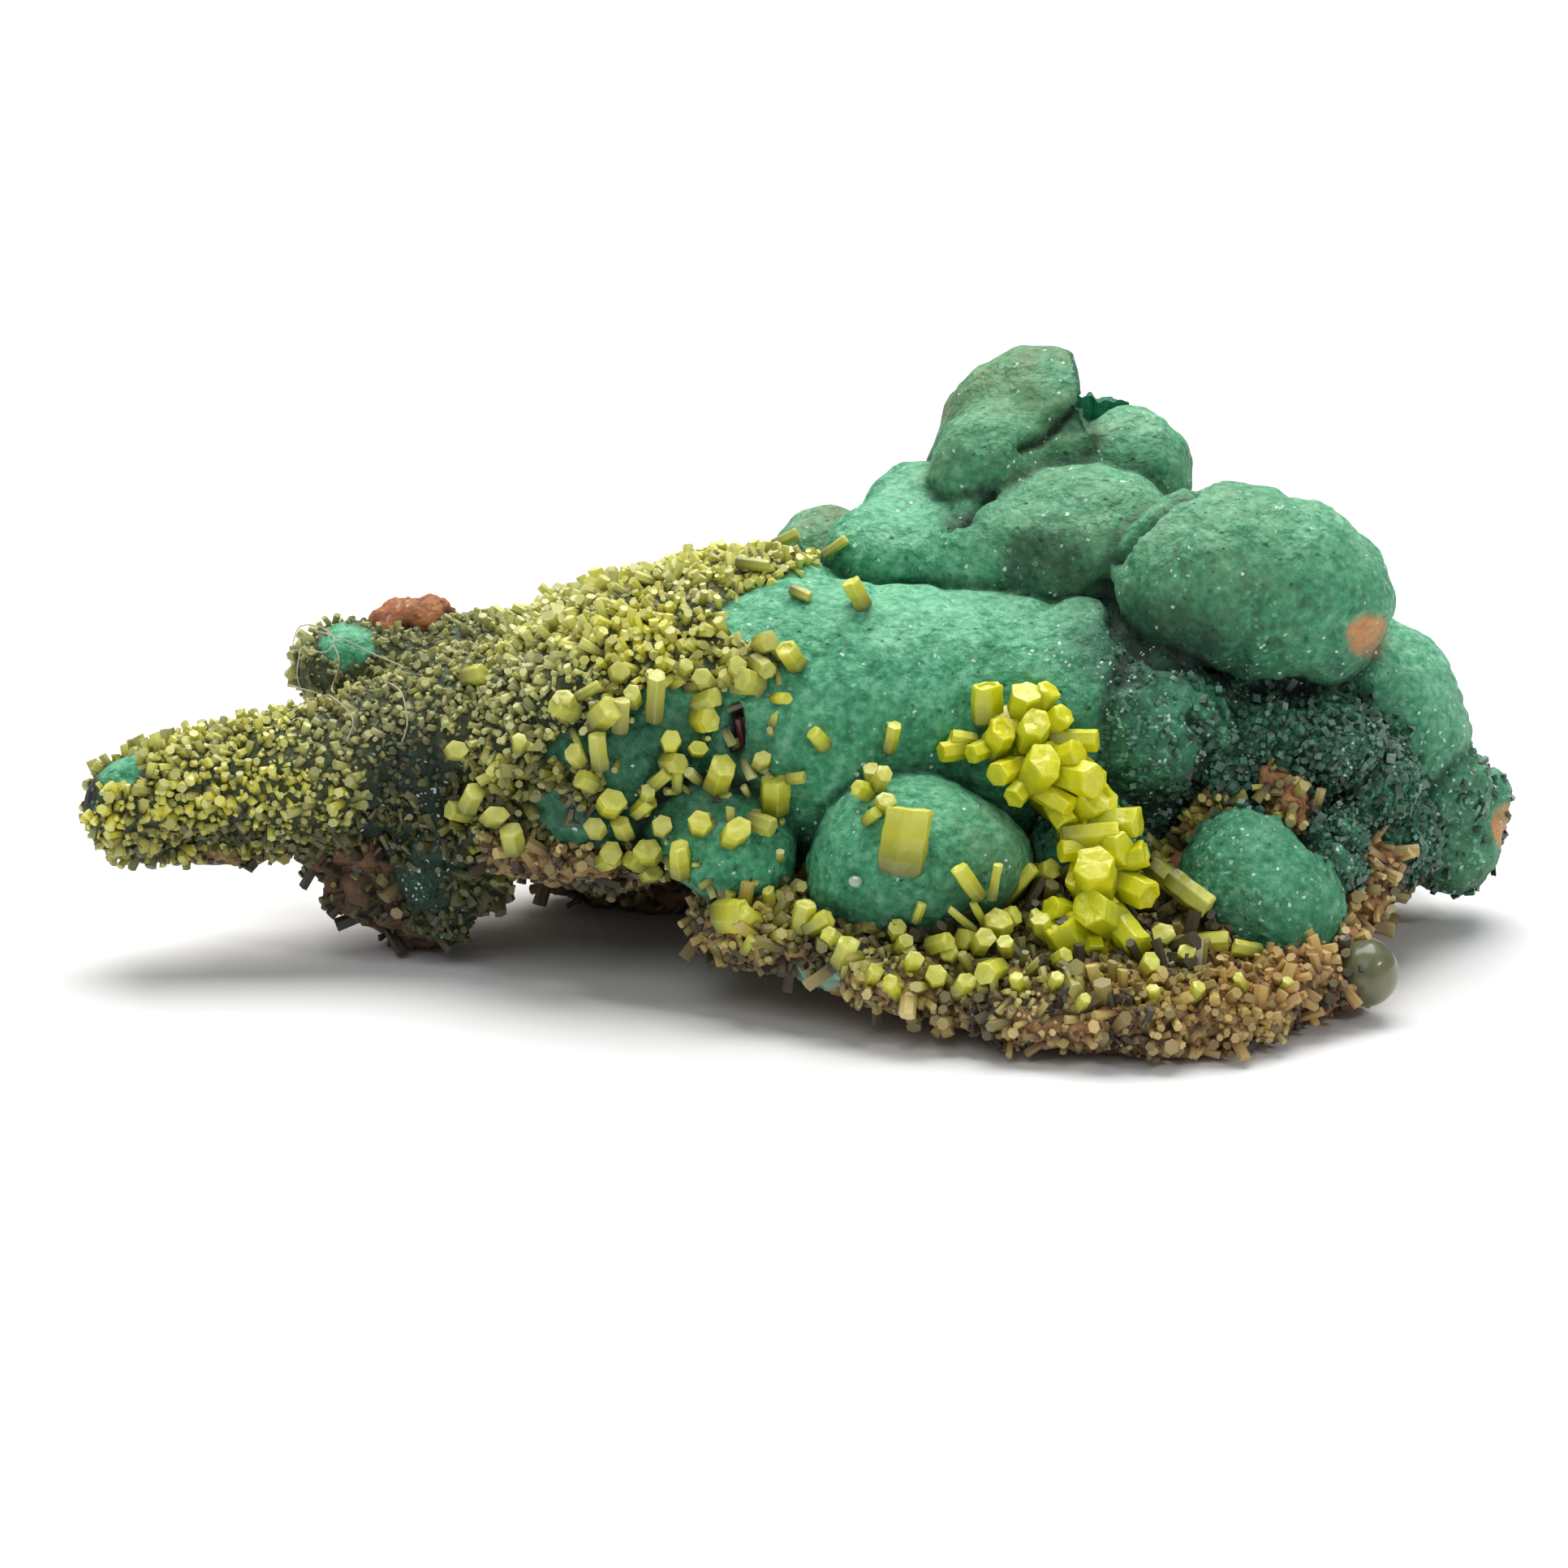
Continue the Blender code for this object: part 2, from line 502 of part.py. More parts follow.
def add_prism(shape, middle, axis, width, length):
    """A hexagonal prism with flat ends, its width measured across its corners."""
    place = Matrix.Translation(middle) @ axis.to_track_quat("Z", "Y").to_matrix().to_4x4()
    bmesh.ops.create_cone(
        shape,
        cap_ends=True,
        segments=6,
        radius1=width / 2,
        radius2=width / 2,
        depth=length,
        matrix=place,
    )


def crystals_object(name, crystals, seat, tree):
    """One object of one or more crystals, each seated in its place."""
    shape = bmesh.new()
    for crystal in crystals:
        add_prism(shape, seat(crystal, tree), crystal_axis(crystal), crystal.width * MM, crystal.length * MM)
    return object_from_shape(name, shape, PYROMORPHITE)


def fused_prisms(obj, *rooms):
    """Fuses an object's crossing prisms and cuts them back from what they grow on."""
    for room in rooms:
        cut(obj, room).use_self = True
    return apply_modifiers(obj)


def open_to_air(place, normal):
    """Whether a point of a crust lies on its outer side: the way out from it meets nothing within two crystals."""
    return host.ray_cast(place + normal * SEAM_GAP, normal, 2 * DRUSE_LENGTH)[0] is None


def spread_points(obj, draw):
    """Places and normals spread evenly over the parts of an object's skin that are open to the air."""
    mesh = obj.data
    areas = [polygon.area for polygon in mesh.polygons]
    found = []
    for polygon in draw.choices(mesh.polygons, weights=areas, k=DRUSE_TRIES):
        corners = [mesh.vertices[index].co for index in polygon.vertices]
        shares = [draw.random() for _ in corners]
        place = sum((corner * share for corner, share in zip(corners, shares)), Vector()) / sum(shares)
        near = any((place - other).length < DRUSE_SPACING for other, _ in found)
        if not near and open_to_air(place, polygon.normal):
            found.append((place, polygon.normal.copy()))
    return found


def druse_crust(name, lobes, seed, *cutters, grown_on=()):
    """A skin of small crystals over some lobes: a shell with prisms standing on it, fused in one body.

    grown_on holds larger crystals that are one growth with the crust.
    """
    crust = fused_lumps(name, lobes, DRUSE_TRIANGLES, PYROMORPHITE, grow=DRUSE_THICKNESS)
    shape = bmesh.new()
    draw = random.Random(seed)
    for place, normal in spread_points(crust, draw):
        axis = (normal + Vector([draw.uniform(-DRUSE_TILT, DRUSE_TILT) for _ in range(3)])).normalized()
        add_prism(shape, place - axis * DRUSE_LENGTH * DRUSE_SUNK, axis, draw.uniform(*DRUSE_WIDTHS), DRUSE_LENGTH)
    prisms = object_from_shape(name + "_prisms", shape)
    for standing in (prisms, *grown_on):
        cut(crust, hide_helper(standing), "UNION").use_self = True
    for cutter in cutters:
        cut(crust, cutter)
    return keep_largest(apply_modifiers(crust))


def limonite_with_room():
    """The matrix, flat where it stands, and its room."""
    obj = fused_lumps("limonite_matrix", LIMONITE_LOBES.values(), LIMONITE_TRIANGLES, LIMONITE, rough=LIMONITE_ROUGHNESS)
    room = room_round(obj)
    cut(obj, block("ground", (-60, -60, -20), (60, 60, 0)))
    return apply_modifiers(obj), room


def malachite_with_room():
    """The botryoidal mass, cut back from the matrix that it coats, and its room."""
    obj = fused_lumps("malachite", MALACHITE_LOBES.values(), MALACHITE_TRIANGLES, MALACHITE)
    room = room_round(obj)
    cut(obj, limonite_room)
    return keep_largest(apply_modifiers(obj)), room


def add_bead():
    """The loose ball of malachite at the right end of the rim."""
    bead = fused_lumps("malachite_bead", BEAD.values(), BEAD_TRIANGLES, MALACHITE)
    cut(bead, limonite_room)
    apply_modifiers(bead)


def add_large_crystals():
    """The spray, the pair and every crystal that stands alone."""
    groups = [
        crystals_object("pyromorphite_spray", SPRAY, seat_in_spray, host),
        crystals_object("pyromorphite_pair", PAIR, seat_on_surface, host),
    ]
    for name, crystal in SINGLE_CRYSTALS.items():
        groups.append(crystals_object(name, [crystal], seat_on_surface, host))
    for group in groups:
        keep_largest(fused_prisms(group, malachite_room, limonite_room))


def add_rim_crystals():
    """Fuses the crystals of the front rim with the matrix that they grow from."""
    crystals = hide_helper(crystals_object("rim_crystals", RIM_CRYSTALS, seat_on_surface, surface_tree(limonite)))
    fused_prisms(crystals, malachite_room)
    cut(limonite, crystals, "UNION")
    keep_largest(apply_modifiers(limonite))


def add_crusts():
    """The druse over the arm and the one over the shoulder, which stops short of the bare malachite."""
    shoulder_lobes = [MALACHITE_LOBES[name] for name in SHOULDER_LOBES]
    shoulder_room = hide_helper(fused_lumps("shoulder_room", shoulder_lobes, DRUSE_TRIANGLES, grow=SHOULDER_ROOM))
    arm_lobes = [MALACHITE_LOBES[name] for name in ARM_LOBES]
    druse_crust("druse_arm", arm_lobes, ARM_SEED, malachite_room, limonite_room, shoulder_room)
    lean = Matrix.Rotation(BARE_SIDE_LEAN, 3, "Y")
    bare_side = block("shoulder_bare_side", (-8.8, -30, -30), (40, 30, 9.0), lean, (-8.8, 0, 9.0))
    standing = crystals_object("shoulder_crystals", SHOULDER_CRYSTALS, seat_on_surface, host)
    rooms = (malachite_room, limonite_room, bare_side)
    druse_crust("druse_shoulder", shoulder_lobes, SHOULDER_SEED, *rooms, grown_on=[standing])


clear_scene()
MALACHITE = make_material("malachite", (0.10, 0.32, 0.19), 0.75)
LIMONITE = make_material("limonite", (0.33, 0.17, 0.08), 0.9)
PYROMORPHITE = make_material("pyromorphite", (0.52, 0.50, 0.06), 0.45)

limonite, limonite_room = limonite_with_room()
malachite, malachite_room = malachite_with_room()
host = surface_tree(malachite, limonite)
add_bead()
add_large_crystals()
add_rim_crystals()
add_crusts()
for obj in bpy.data.objects:
    obj.location -= FOOTPRINT_MIDDLE
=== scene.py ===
"""Dressed model of a pyromorphite, malachite and limonite specimen, for Blender 4.5.

Frame: metres, +Z up, +X to the right of the display face, +Y away from it, origin in the middle of the
footprint. Shapes are worked out in millimetres, in drawing coordinates, and moved to the frame when
they are put into a mesh.
"""

import itertools
import logging
import math
from collections.abc import Iterable, Sequence
from dataclasses import dataclass, field
from enum import Enum
from typing import NamedTuple

import bpy
import numpy as np
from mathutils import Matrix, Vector
from mathutils.bvhtree import BVHTree


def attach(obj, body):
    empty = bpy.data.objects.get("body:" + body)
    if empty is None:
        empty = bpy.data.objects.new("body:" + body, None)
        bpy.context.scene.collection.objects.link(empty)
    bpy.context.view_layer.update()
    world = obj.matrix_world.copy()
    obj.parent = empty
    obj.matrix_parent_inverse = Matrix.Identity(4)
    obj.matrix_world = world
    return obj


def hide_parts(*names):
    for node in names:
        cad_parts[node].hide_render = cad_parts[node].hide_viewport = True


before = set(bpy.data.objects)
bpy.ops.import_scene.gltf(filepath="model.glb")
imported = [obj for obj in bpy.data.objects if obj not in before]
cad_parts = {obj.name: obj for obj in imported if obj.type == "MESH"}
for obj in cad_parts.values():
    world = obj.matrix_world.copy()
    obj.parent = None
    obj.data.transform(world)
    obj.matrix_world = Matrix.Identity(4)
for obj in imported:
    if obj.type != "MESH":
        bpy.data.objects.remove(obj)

LOG = logging.getLogger("specimen")
MM = 0.001
FOOTPRINT_MIDDLE = np.array((0.52, -0.75, 0.0))

# The way that the crown's break faces.
FRACTURE = np.array((math.cos(math.radians(14.0)), 0.0, math.sin(math.radians(14.0))))

# How much of its half height a crystal stands off its ground, and where a worn side has its points.
SEATED_SHARE = 0.62
WORN_SIDES = (0.06, 0.36, 0.64, 0.94)

# The deepest shade of crystals and of the mass, and the shade of undersides and of recessed crystals.
MOST_SHADE = 0.95
MOST_MASS_SHADE = 0.92
UNDER_SHADE, RECESS_SHADE = 0.45, 0.62

# Nothing grows further than this inside the other mineral, in millimetres.
JUST_UNDER = -0.1
# A surface whose normal runs along the view by more than this is not seen.
GRAZING = 0.12
# How much of the surface the druse covers in the dark gap and on the sparse shoulder.
GAP_COVER, SPARSE_COVER = 0.75, 0.06
# How many places are drawn for each one kept, and how much crystals vary.
DRAWS_IN_A_CELL = 5.0
SLANT_SPREAD, OVAL_SPREAD, SIZE_DRIFT = 0.1, 0.08, 0.35

# The lamps' colours and the place that they face, in metres.
WHITE = (1.0, 1.0, 1.0)
WARM = (1.0, 0.985, 0.96)
COOL = (0.97, 0.985, 1.0)
LIT_PLACE = (0.0, 0.0, 0.01)

# How light bends in stone and crystal, how far it goes in, in millimetres, and how glints gloss.
STONE_IOR = 1.5
CRYSTAL_IOR = 1.75
LIGHT_REACH = 0.6
GLINT_GLOSS = 0.5

TINY = 1e-9
FAR = 1e9

Array = np.ndarray
Picture = Sequence[tuple[float, float]]


class Slot(str, Enum):
    """The record's material slots."""

    MALACHITE = "malachite"
    LIMONITE = "limonite"
    CRYSTAL = "pyromorphite"
    DRUSE = "pyromorphite_druse"


class Lobe(NamedTuple):
    """A rounded lump: its middle, three radii, turn about Y in degrees, and where it is broken off."""

    x: float
    y: float
    z: float
    rx: float
    ry: float
    rz: float
    turn: float = 0.0
    broken_at: float = math.inf


class Crystal(NamedTuple):
    """A hexagonal prism seen at a pixel: width and length in millimetres.

    lean is its axis in the picture, counter-clockwise from the right, and facing is how far the axis
    turns out of the picture towards the viewer, both in degrees. lift is how far its middle stands off
    the surface that it grows on, in millimetres.
    """

    seen_x: float
    seen_y: float
    width: float
    length: float
    lean: float
    facing: float
    lift: float = 0.0


def table(kind: type, **rows: tuple[float, ...]) -> dict:
    """Rows of values by name, each made into that kind of thing."""
    return {name: kind(*row) for name, row in rows.items()}


def crystals(*rows: tuple[float, ...]) -> tuple[Crystal, ...]:
    """Crystals from rows of their values."""
    return tuple(Crystal(*row) for row in rows)


class Noise(NamedTuple):
    """A fractal noise: its widest waves in millimetres, how many layers it has, and which one it is."""

    size: float
    octaves: int
    seed: int


MALACHITE_LOBES = table(
    Lobe,
    core_left=(-5.0, 1.0, 8.5, 7.5, 5.5, 4.2), core_mid=(6.0, 1.5, 8.5, 9.5, 8.0, 5.4),
    core_right=(17.0, 1.5, 8.0, 8.5, 7.0, 5.4), shoulder_low=(-7.5, -2.0, 8.7, 5.4, 5.2, 5.0),
    shoulder_mid=(-4.3, -1.2, 10.7, 5.3, 5.2, 5.1), shoulder_top=(-0.9, 1.0, 12.2, 4.3, 4.4, 3.9),
    shoulder_bare=(1.1, -2.2, 10.0, 5.8, 5.8, 5.6), shoulder_bridge=(5.0, -1.6, 10.3, 4.4, 5.2, 4.8),
    middle=(8.6, -0.8, 10.0, 5.6, 5.8, 5.0), middle_right=(12.2, -2.2, 10.2, 3.6, 4.4, 4.6),
    ridge=(12.1, 3.0, 16.4, 4.7, 4.4, 3.3), ridge_front=(11.3, 1.0, 15.9, 2.8, 2.4, 2.3),
    left_mid=(4.1, 2.8, 15.6, 2.5, 2.5, 2.5), mid_gap=(7.6, 2.2, 15.5, 2.7, 2.7, 2.7),
    behind_left=(5.9, 6.0, 16.6, 2.6, 2.6, 2.6), crown_left=(11.0, 8.0, 18.9, 4.8, 3.6, 4.7, 0.0, 2.15),
    crown_front=(8.4, 4.6, 19.3, 2.3, 2.3, 2.5), crown_right=(14.5, 6.4, 18.6, 2.7, 2.7, 2.8),
    grey_back=(2.2, 8.8, 13.7, 2.8, 2.8, 2.8), big_left=(16.9, -1.0, 15.6, 3.7, 3.8, 3.3, -8.0),
    big_bridge=(18.8, -0.8, 16.0, 3.3, 3.6, 3.2, 4.0), big_right=(20.9, -0.6, 14.9, 4.1, 4.2, 3.7, 10.0),
    sparkling=(14.9, -4.0, 10.4, 3.3, 3.5, 3.2), spray_seat=(12.3, -6.4, 5.6, 2.3, 2.4, 2.9),
    crown_plate=(14.0, 8.6, 19.8, 1.3, 1.4, 1.0), front_dome=(5.0, -8.2, 5.7, 4.0, 4.0, 3.9),
    front_bump=(7.8, -8.8, 6.1, 2.1, 2.2, 2.0), low_bump=(-2.6, -6.0, 7.0, 3.1, 2.8, 2.2),
    low_bump_front=(-1.8, -7.7, 5.8, 2.1, 2.0, 1.6), right_low=(18.6, -7.6, 5.3, 2.5, 2.6, 2.6),
    right_low_front=(20.0, -8.4, 3.8, 2.5, 2.5, 2.3), right_small=(22.0, -6.0, 5.8, 1.6, 1.7, 1.7),
    rough_1=(19.8, -3.2, 10.0, 1.9, 2.1, 1.7), rough_2=(22.2, -3.0, 9.4, 2.2, 2.3, 1.9),
    rough_3=(20.2, -3.6, 7.8, 2.2, 2.3, 1.6), rough_4=(24.0, -2.2, 7.6, 2.1, 2.2, 1.9),
    rough_5=(17.6, -4.4, 8.2, 1.4, 1.6, 1.4), outer_top=(24.3, 2.6, 10.6, 2.9, 3.2, 2.9),
    outer_green=(25.7, 2.6, 8.3, 3.0, 3.2, 3.3), right_end=(28.1, 3.0, 3.5, 2.2, 2.4, 2.2),
    right_knob=(24.9, -1.2, 4.9, 2.2, 2.2, 2.1), right_shelf=(27.6, 1.8, 6.2, 2.0, 2.1, 1.8),
    right_tip=(29.4, 4.0, 5.1, 1.4, 1.5, 1.3), arm_root=(-11.8, 0.0, 8.8, 3.9, 4.0, 3.7),
    arm_upper=(-15.7, -0.2, 8.0, 3.5, 3.5, 3.3, 6.0), arm_middle=(-19.6, -1.1, 7.5, 3.3, 3.0, 2.8, 8.0),
    arm_lower=(-23.4, -2.0, 7.3, 2.9, 2.3, 2.0, 10.0), arm_end=(-26.5, -2.8, 6.6, 2.3, 2.0, 2.0, 0.0),
    ledge_left=(-18.9, 5.6, 10.4, 1.5, 1.8, 1.5), ledge_mid=(-16.9, 5.4, 10.6, 1.9, 2.0, 1.6),
    ledge_root=(-14.0, 4.6, 9.4, 3.2, 3.0, 2.8), ledge_right=(-12.2, 5.4, 10.8, 2.0, 2.1, 1.8),
    foot_face=(-14.2, -2.9, 4.6, 1.9, 1.6, 3.4, -8.0), foot_patch=(-12.3, -3.6, 5.0, 1.3, 1.4, 1.8),
    back_left=(-7.0, 5.6, 9.3, 5.2, 4.4, 4.4), back_mid=(0.5, 8.2, 9.2, 5.2, 4.6, 4.8),
    back_right=(8.6, 9.6, 10.4, 5.4, 4.6, 5.2), back_crown=(13.6, 9.6, 14.8, 3.6, 3.4, 3.6),
    back_far=(17.6, 8.0, 11.0, 4.8, 4.4, 4.4), back_outer=(23.2, 6.8, 7.2, 3.8, 3.8, 3.8),
    back_low=(13.6, 12.4, 6.6, 3.4, 2.8, 2.8), back_low_left=(4.0, 12.2, 6.2, 3.6, 2.6, 2.8),
)

BEAD = Lobe(23.3, -10.1, 1.9, 1.3, 1.3, 1.35)

LIMONITE_LOBES = table(
    Lobe,
    rim_left=(0.2, -8.4, 3.2, 3.7, 3.2, 1.5, 4.0), rim_mid=(5.6, -10.2, 2.4, 5.4, 3.8, 1.7, 6.0),
    rim_front=(13.2, -12.2, 1.5, 7.2, 4.2, 1.9, 2.0), rim_right=(19.4, -8.8, 1.7, 3.9, 4.0, 1.9),
    bead_seat=(21.6, -8.4, 1.9, 1.9, 1.8, 1.7), base_front=(12.0, -5.0, 3.0, 11.0, 6.5, 2.6),
    base_mid=(6.0, 1.5, 4.4, 9.5, 7.0, 2.2), base_right=(20.0, 1.6, 2.0, 5.2, 6.0, 2.4),
    right_edge=(24.6, 3.4, 2.4, 1.9, 3.4, 1.5), base_back=(9.5, 8.6, 2.4, 11.5, 5.4, 2.9),
    base_core=(15.0, 3.2, 3.2, 4.6, 4.2, 2.6), base_left=(-8.0, 0.6, 6.1, 8.4, 5.6, 1.7),
    underside_left=(-7.8, -4.4, 5.3, 4.6, 2.6, 1.3), base_behind=(-5.6, 5.8, 2.6, 5.6, 3.4, 3.0),
    arm_keel=(-20.2, -0.6, 5.7, 5.6, 2.0, 1.0, 3.0), keel_end=(-23.5, -1.5, 4.75, 2.3, 1.3, 0.75, 10.0),
    tip_tan=(-27.9, -2.9, 5.9, 1.2, 1.3, 1.2), tip_dark=(-28.3, -2.9, 7.2, 0.8, 1.0, 1.4),
    foot_keel=(-16.5, -1.0, 3.5, 3.8, 2.2, 2.3, 40.0), foot_tip=(-15.2, -0.4, 1.6, 1.6, 1.8, 1.7),
    foot_root=(-16.8, 0.2, 4.6, 4.0, 3.0, 2.0, 14.0), ledge_core=(-15.6, 6.0, 9.8, 2.4, 1.6, 2.7, 8.0),
    rust_cap=(-15.6, 6.0, 12.35, 1.9, 1.3, 0.95, -3.0), ledge_base=(-13.4, 4.2, 6.4, 3.6, 3.4, 1.8),
    rust_seam_1=(20.9, -5.2, 6.6, 1.1, 1.4, 3.0, -28.0), rust_seam_2=(17.0, -5.6, 5.6, 1.2, 1.2, 2.8, 10.0),
    rust_seam_3=(23.6, -4.6, 3.6, 1.3, 1.6, 2.2, 20.0),
)

SPRAY = crystals(
    (1217, 868, 1.15, 1.6, 92, 25, 0.3), (1229, 911, 1.2, 1.4, 60, 60, 0.5),
    (1187, 911, 0.75, 1.1, 170, 15, 0.0), (1176, 924, 0.85, 1.2, 190, 25, 0.0),
    (1208, 925, 0.9, 1.1, 200, 50, 0.4), (1262, 868, 1.35, 1.6, 80, 65, 0.5),
    (1283, 866, 1.1, 1.5, 60, 40, 0.3), (1272, 905, 1.4, 1.7, 75, 70, 0.9),
    (1300, 893, 1.05, 1.4, 50, 45, 0.6), (1322, 912, 0.95, 2.0, 0, 12, 0.5),
    (1280, 950, 1.6, 1.8, 60, 72, 1.3), (1308, 935, 1.2, 1.8, 20, 50, 0.9),
    (1328, 958, 1.5, 1.9, -10, 60, 1.1), (1243, 950, 1.1, 1.5, 200, 55, 0.7),
    (1258, 972, 1.0, 1.3, 230, 50, 0.7), (1292, 980, 1.0, 2.2, -30, 30, 0.7),
    (1305, 1000, 1.1, 1.5, -60, 35, 0.4), (1375, 1015, 1.4, 2.0, 5, 30, 0.6),
    (1345, 1030, 1.1, 2.4, 5, 20, 0.9), (1330, 1045, 1.0, 1.7, 185, 30, 0.6),
    (1367, 1045, 1.3, 1.6, -5, 55, 0.9), (1350, 1083, 1.8, 2.0, 100, 65, 1.1),
    (1389, 1058, 1.2, 1.7, 20, 35, 0.6), (1396, 1095, 1.3, 1.7, -25, 50, 0.6),
    (1357, 1128, 1.8, 1.9, 150, 60, 1.1), (1385, 1145, 1.3, 2.2, -50, 45, 1.0),
    (1320, 1162, 1.6, 2.1, 120, 25, 0.7), (1345, 1163, 1.1, 1.3, -80, 60, 0.7),
    (1360, 1183, 0.8, 1.0, -70, 50, 0.4), (1310, 1125, 1.1, 1.5, 160, 50, 0.4),
    (1381, 1196, 1.0, 1.5, 80, 35, 0.3), (1375, 1219, 1.0, 1.2, 240, 65, 0.4),
    (1235, 912, 1.7, 2.4, 80, 60, -0.7), (1272, 930, 2.0, 2.8, 70, 60, -0.6),
    (1308, 965, 2.0, 2.8, 40, 60, -0.6), (1338, 1005, 2.0, 2.8, 60, 60, -0.5),
    (1355, 1050, 2.1, 2.9, 80, 60, -0.5), (1355, 1100, 2.1, 2.9, 120, 60, -0.5),
    (1350, 1145, 2.0, 2.8, 90, 60, -0.4), (1366, 1190, 1.6, 2.4, 60, 60, -0.4),
)

SINGLE_CRYSTALS = table(
    Crystal,
    crystal_ridge=(1055, 743, 0.85, 1.25, 120, 20), crystal_dome_large=(1120, 1041, 1.85, 2.6, 82, 8),
    crystal_slope_left=(1010, 910, 0.7, 0.95, 130, 30), crystal_slope_right=(1093, 908, 0.75, 1.2, 78, 25),
    crystal_shoulder_1=(975, 816, 0.95, 1.2, 125, 45), crystal_shoulder_2=(962, 863, 0.6, 0.8, 0, 50),
    crystal_hollow=(958, 974, 1.3, 1.5, 88, 30), crystal_shoulder_3=(885, 961, 1.2, 1.5, 70, 45),
    crystal_shoulder_4=(793, 991, 0.8, 1.0, 40, 30), crystal_bump_1=(865, 1021, 1.0, 1.1, 80, 75),
    crystal_bump_2=(905, 1034, 1.1, 1.2, 60, 60), crystal_bump_3=(808, 1045, 1.05, 1.1, 90, 70),
    crystal_bump_4=(848, 1060, 1.0, 1.4, 95, 30), crystal_bump_5=(907, 1103, 1.35, 1.4, 0, 35, 0.9),
    crystal_shoulder_6=(870, 888, 1.0, 1.1, 0, 55), crystal_shoulder_7=(862, 922, 0.75, 0.8, 60, 78),
    crystal_shoulder_8=(826, 912, 0.9, 0.9, 80, 78), crystal_shoulder_9=(754, 984, 1.1, 1.1, 60, 65),
    needle_low=(1184, 1088, 0.75, 1.6, 125, 20, 0.4), needle_long=(1254, 1112, 0.55, 2.1, 50, 25, 0.5),
)

SHOULDER_CRYSTALS = crystals(
    (808, 865, 0.95, 2.0, 85, 25, 0.2), (748, 883, 1.15, 1.3, 40, 50, 0.3),
    (705, 876, 0.9, 1.3, 100, 50, 0.4), (740, 925, 0.75, 1.6, 95, 30, 0.3),
    (925, 842, 1.0, 1.1, 160, 40, 0.2),
    (942, 803, 0.9, 1.0, 20, 60, 0.2), (912, 827, 0.8, 0.8, 60, 70, 0.2),
    (938, 824, 0.8, 1.0, -40, 45, 0.2), (920, 852, 0.5, 1.1, 0, 10, 0.3),
    (847, 828, 0.65, 0.7, 70, 60, 0.3), (866, 842, 0.85, 0.9, 120, 60, 0.3),
    (863, 861, 0.9, 1.1, 20, 40, 0.2), (777, 833, 0.85, 0.8, 60, 75, 0.4),
    (786, 858, 0.8, 0.9, 100, 60, 0.4), (706, 879, 0.9, 1.2, 160, 40, 0.5),
    (761, 890, 0.75, 1.4, 85, 20, 0.4), (731, 862, 0.5, 1.1, 30, 10, 0.5), (828, 937, 0.9, 0.9, 0, 40, 0.2),
    (805, 957, 0.6, 1.0, 40, 20, 0.2), (838, 966, 0.5, 0.85, 90, 15, 0.2),
    (942, 935, 0.75, 0.8, 70, 70, 0.1), (984, 951, 0.5, 0.8, 5, 25, 0.3),
    (717, 930, 0.8, 0.9, 130, 55, 0.3), (728, 955, 0.75, 1.0, 150, 45, 0.3),
    (792, 973, 0.65, 0.7, 70, 60, 0.2), (734, 1014, 0.85, 0.9, 100, 70, 0.2),
    (754, 1040, 1.0, 0.9, 80, 75, 0.2), (744, 1058, 0.85, 0.9, 20, 50, 0.2),
    (762, 1013, 0.8, 1.0, 110, 50, 0.2), (826, 1019, 0.9, 0.9, 80, 78, 0.1),
    (782, 1057, 0.8, 0.9, 140, 50, 0.2), (806, 1072, 0.75, 0.8, 30, 60, 0.1),
    (932, 1023, 0.8, 1.2, -20, 30, 0.1), (606, 976, 0.95, 1.2, 60, 50, 0.6),
    (628, 997, 0.95, 1.0, 50, 65, 0.6), (650, 1020, 1.0, 1.2, 100, 45, 0.6),
    (578, 983, 0.9, 1.1, 170, 40, 0.5), (585, 922, 0.85, 0.8, 40, 70, 0.6),
    (588, 843, 0.85, 1.1, 10, 40, 0.1), (654, 922, 0.65, 0.8, 80, 60, 0.6),
    (975, 672, 0.6, 1.3, 25, 15, 0.2), (1035, 676, 0.55, 1.2, 35, 15, 0.2),
    (985, 737, 0.5, 0.9, -25, 20, 0.1), (930, 706, 0.5, 1.4, -8, 15, 0.3),
)

PAIR = crystals(
    (1466, 1111, 1.05, 2.1, -38, 15, 1.0), (1468, 1082, 1.0, 2.0, -40, 15, 0.6),
)

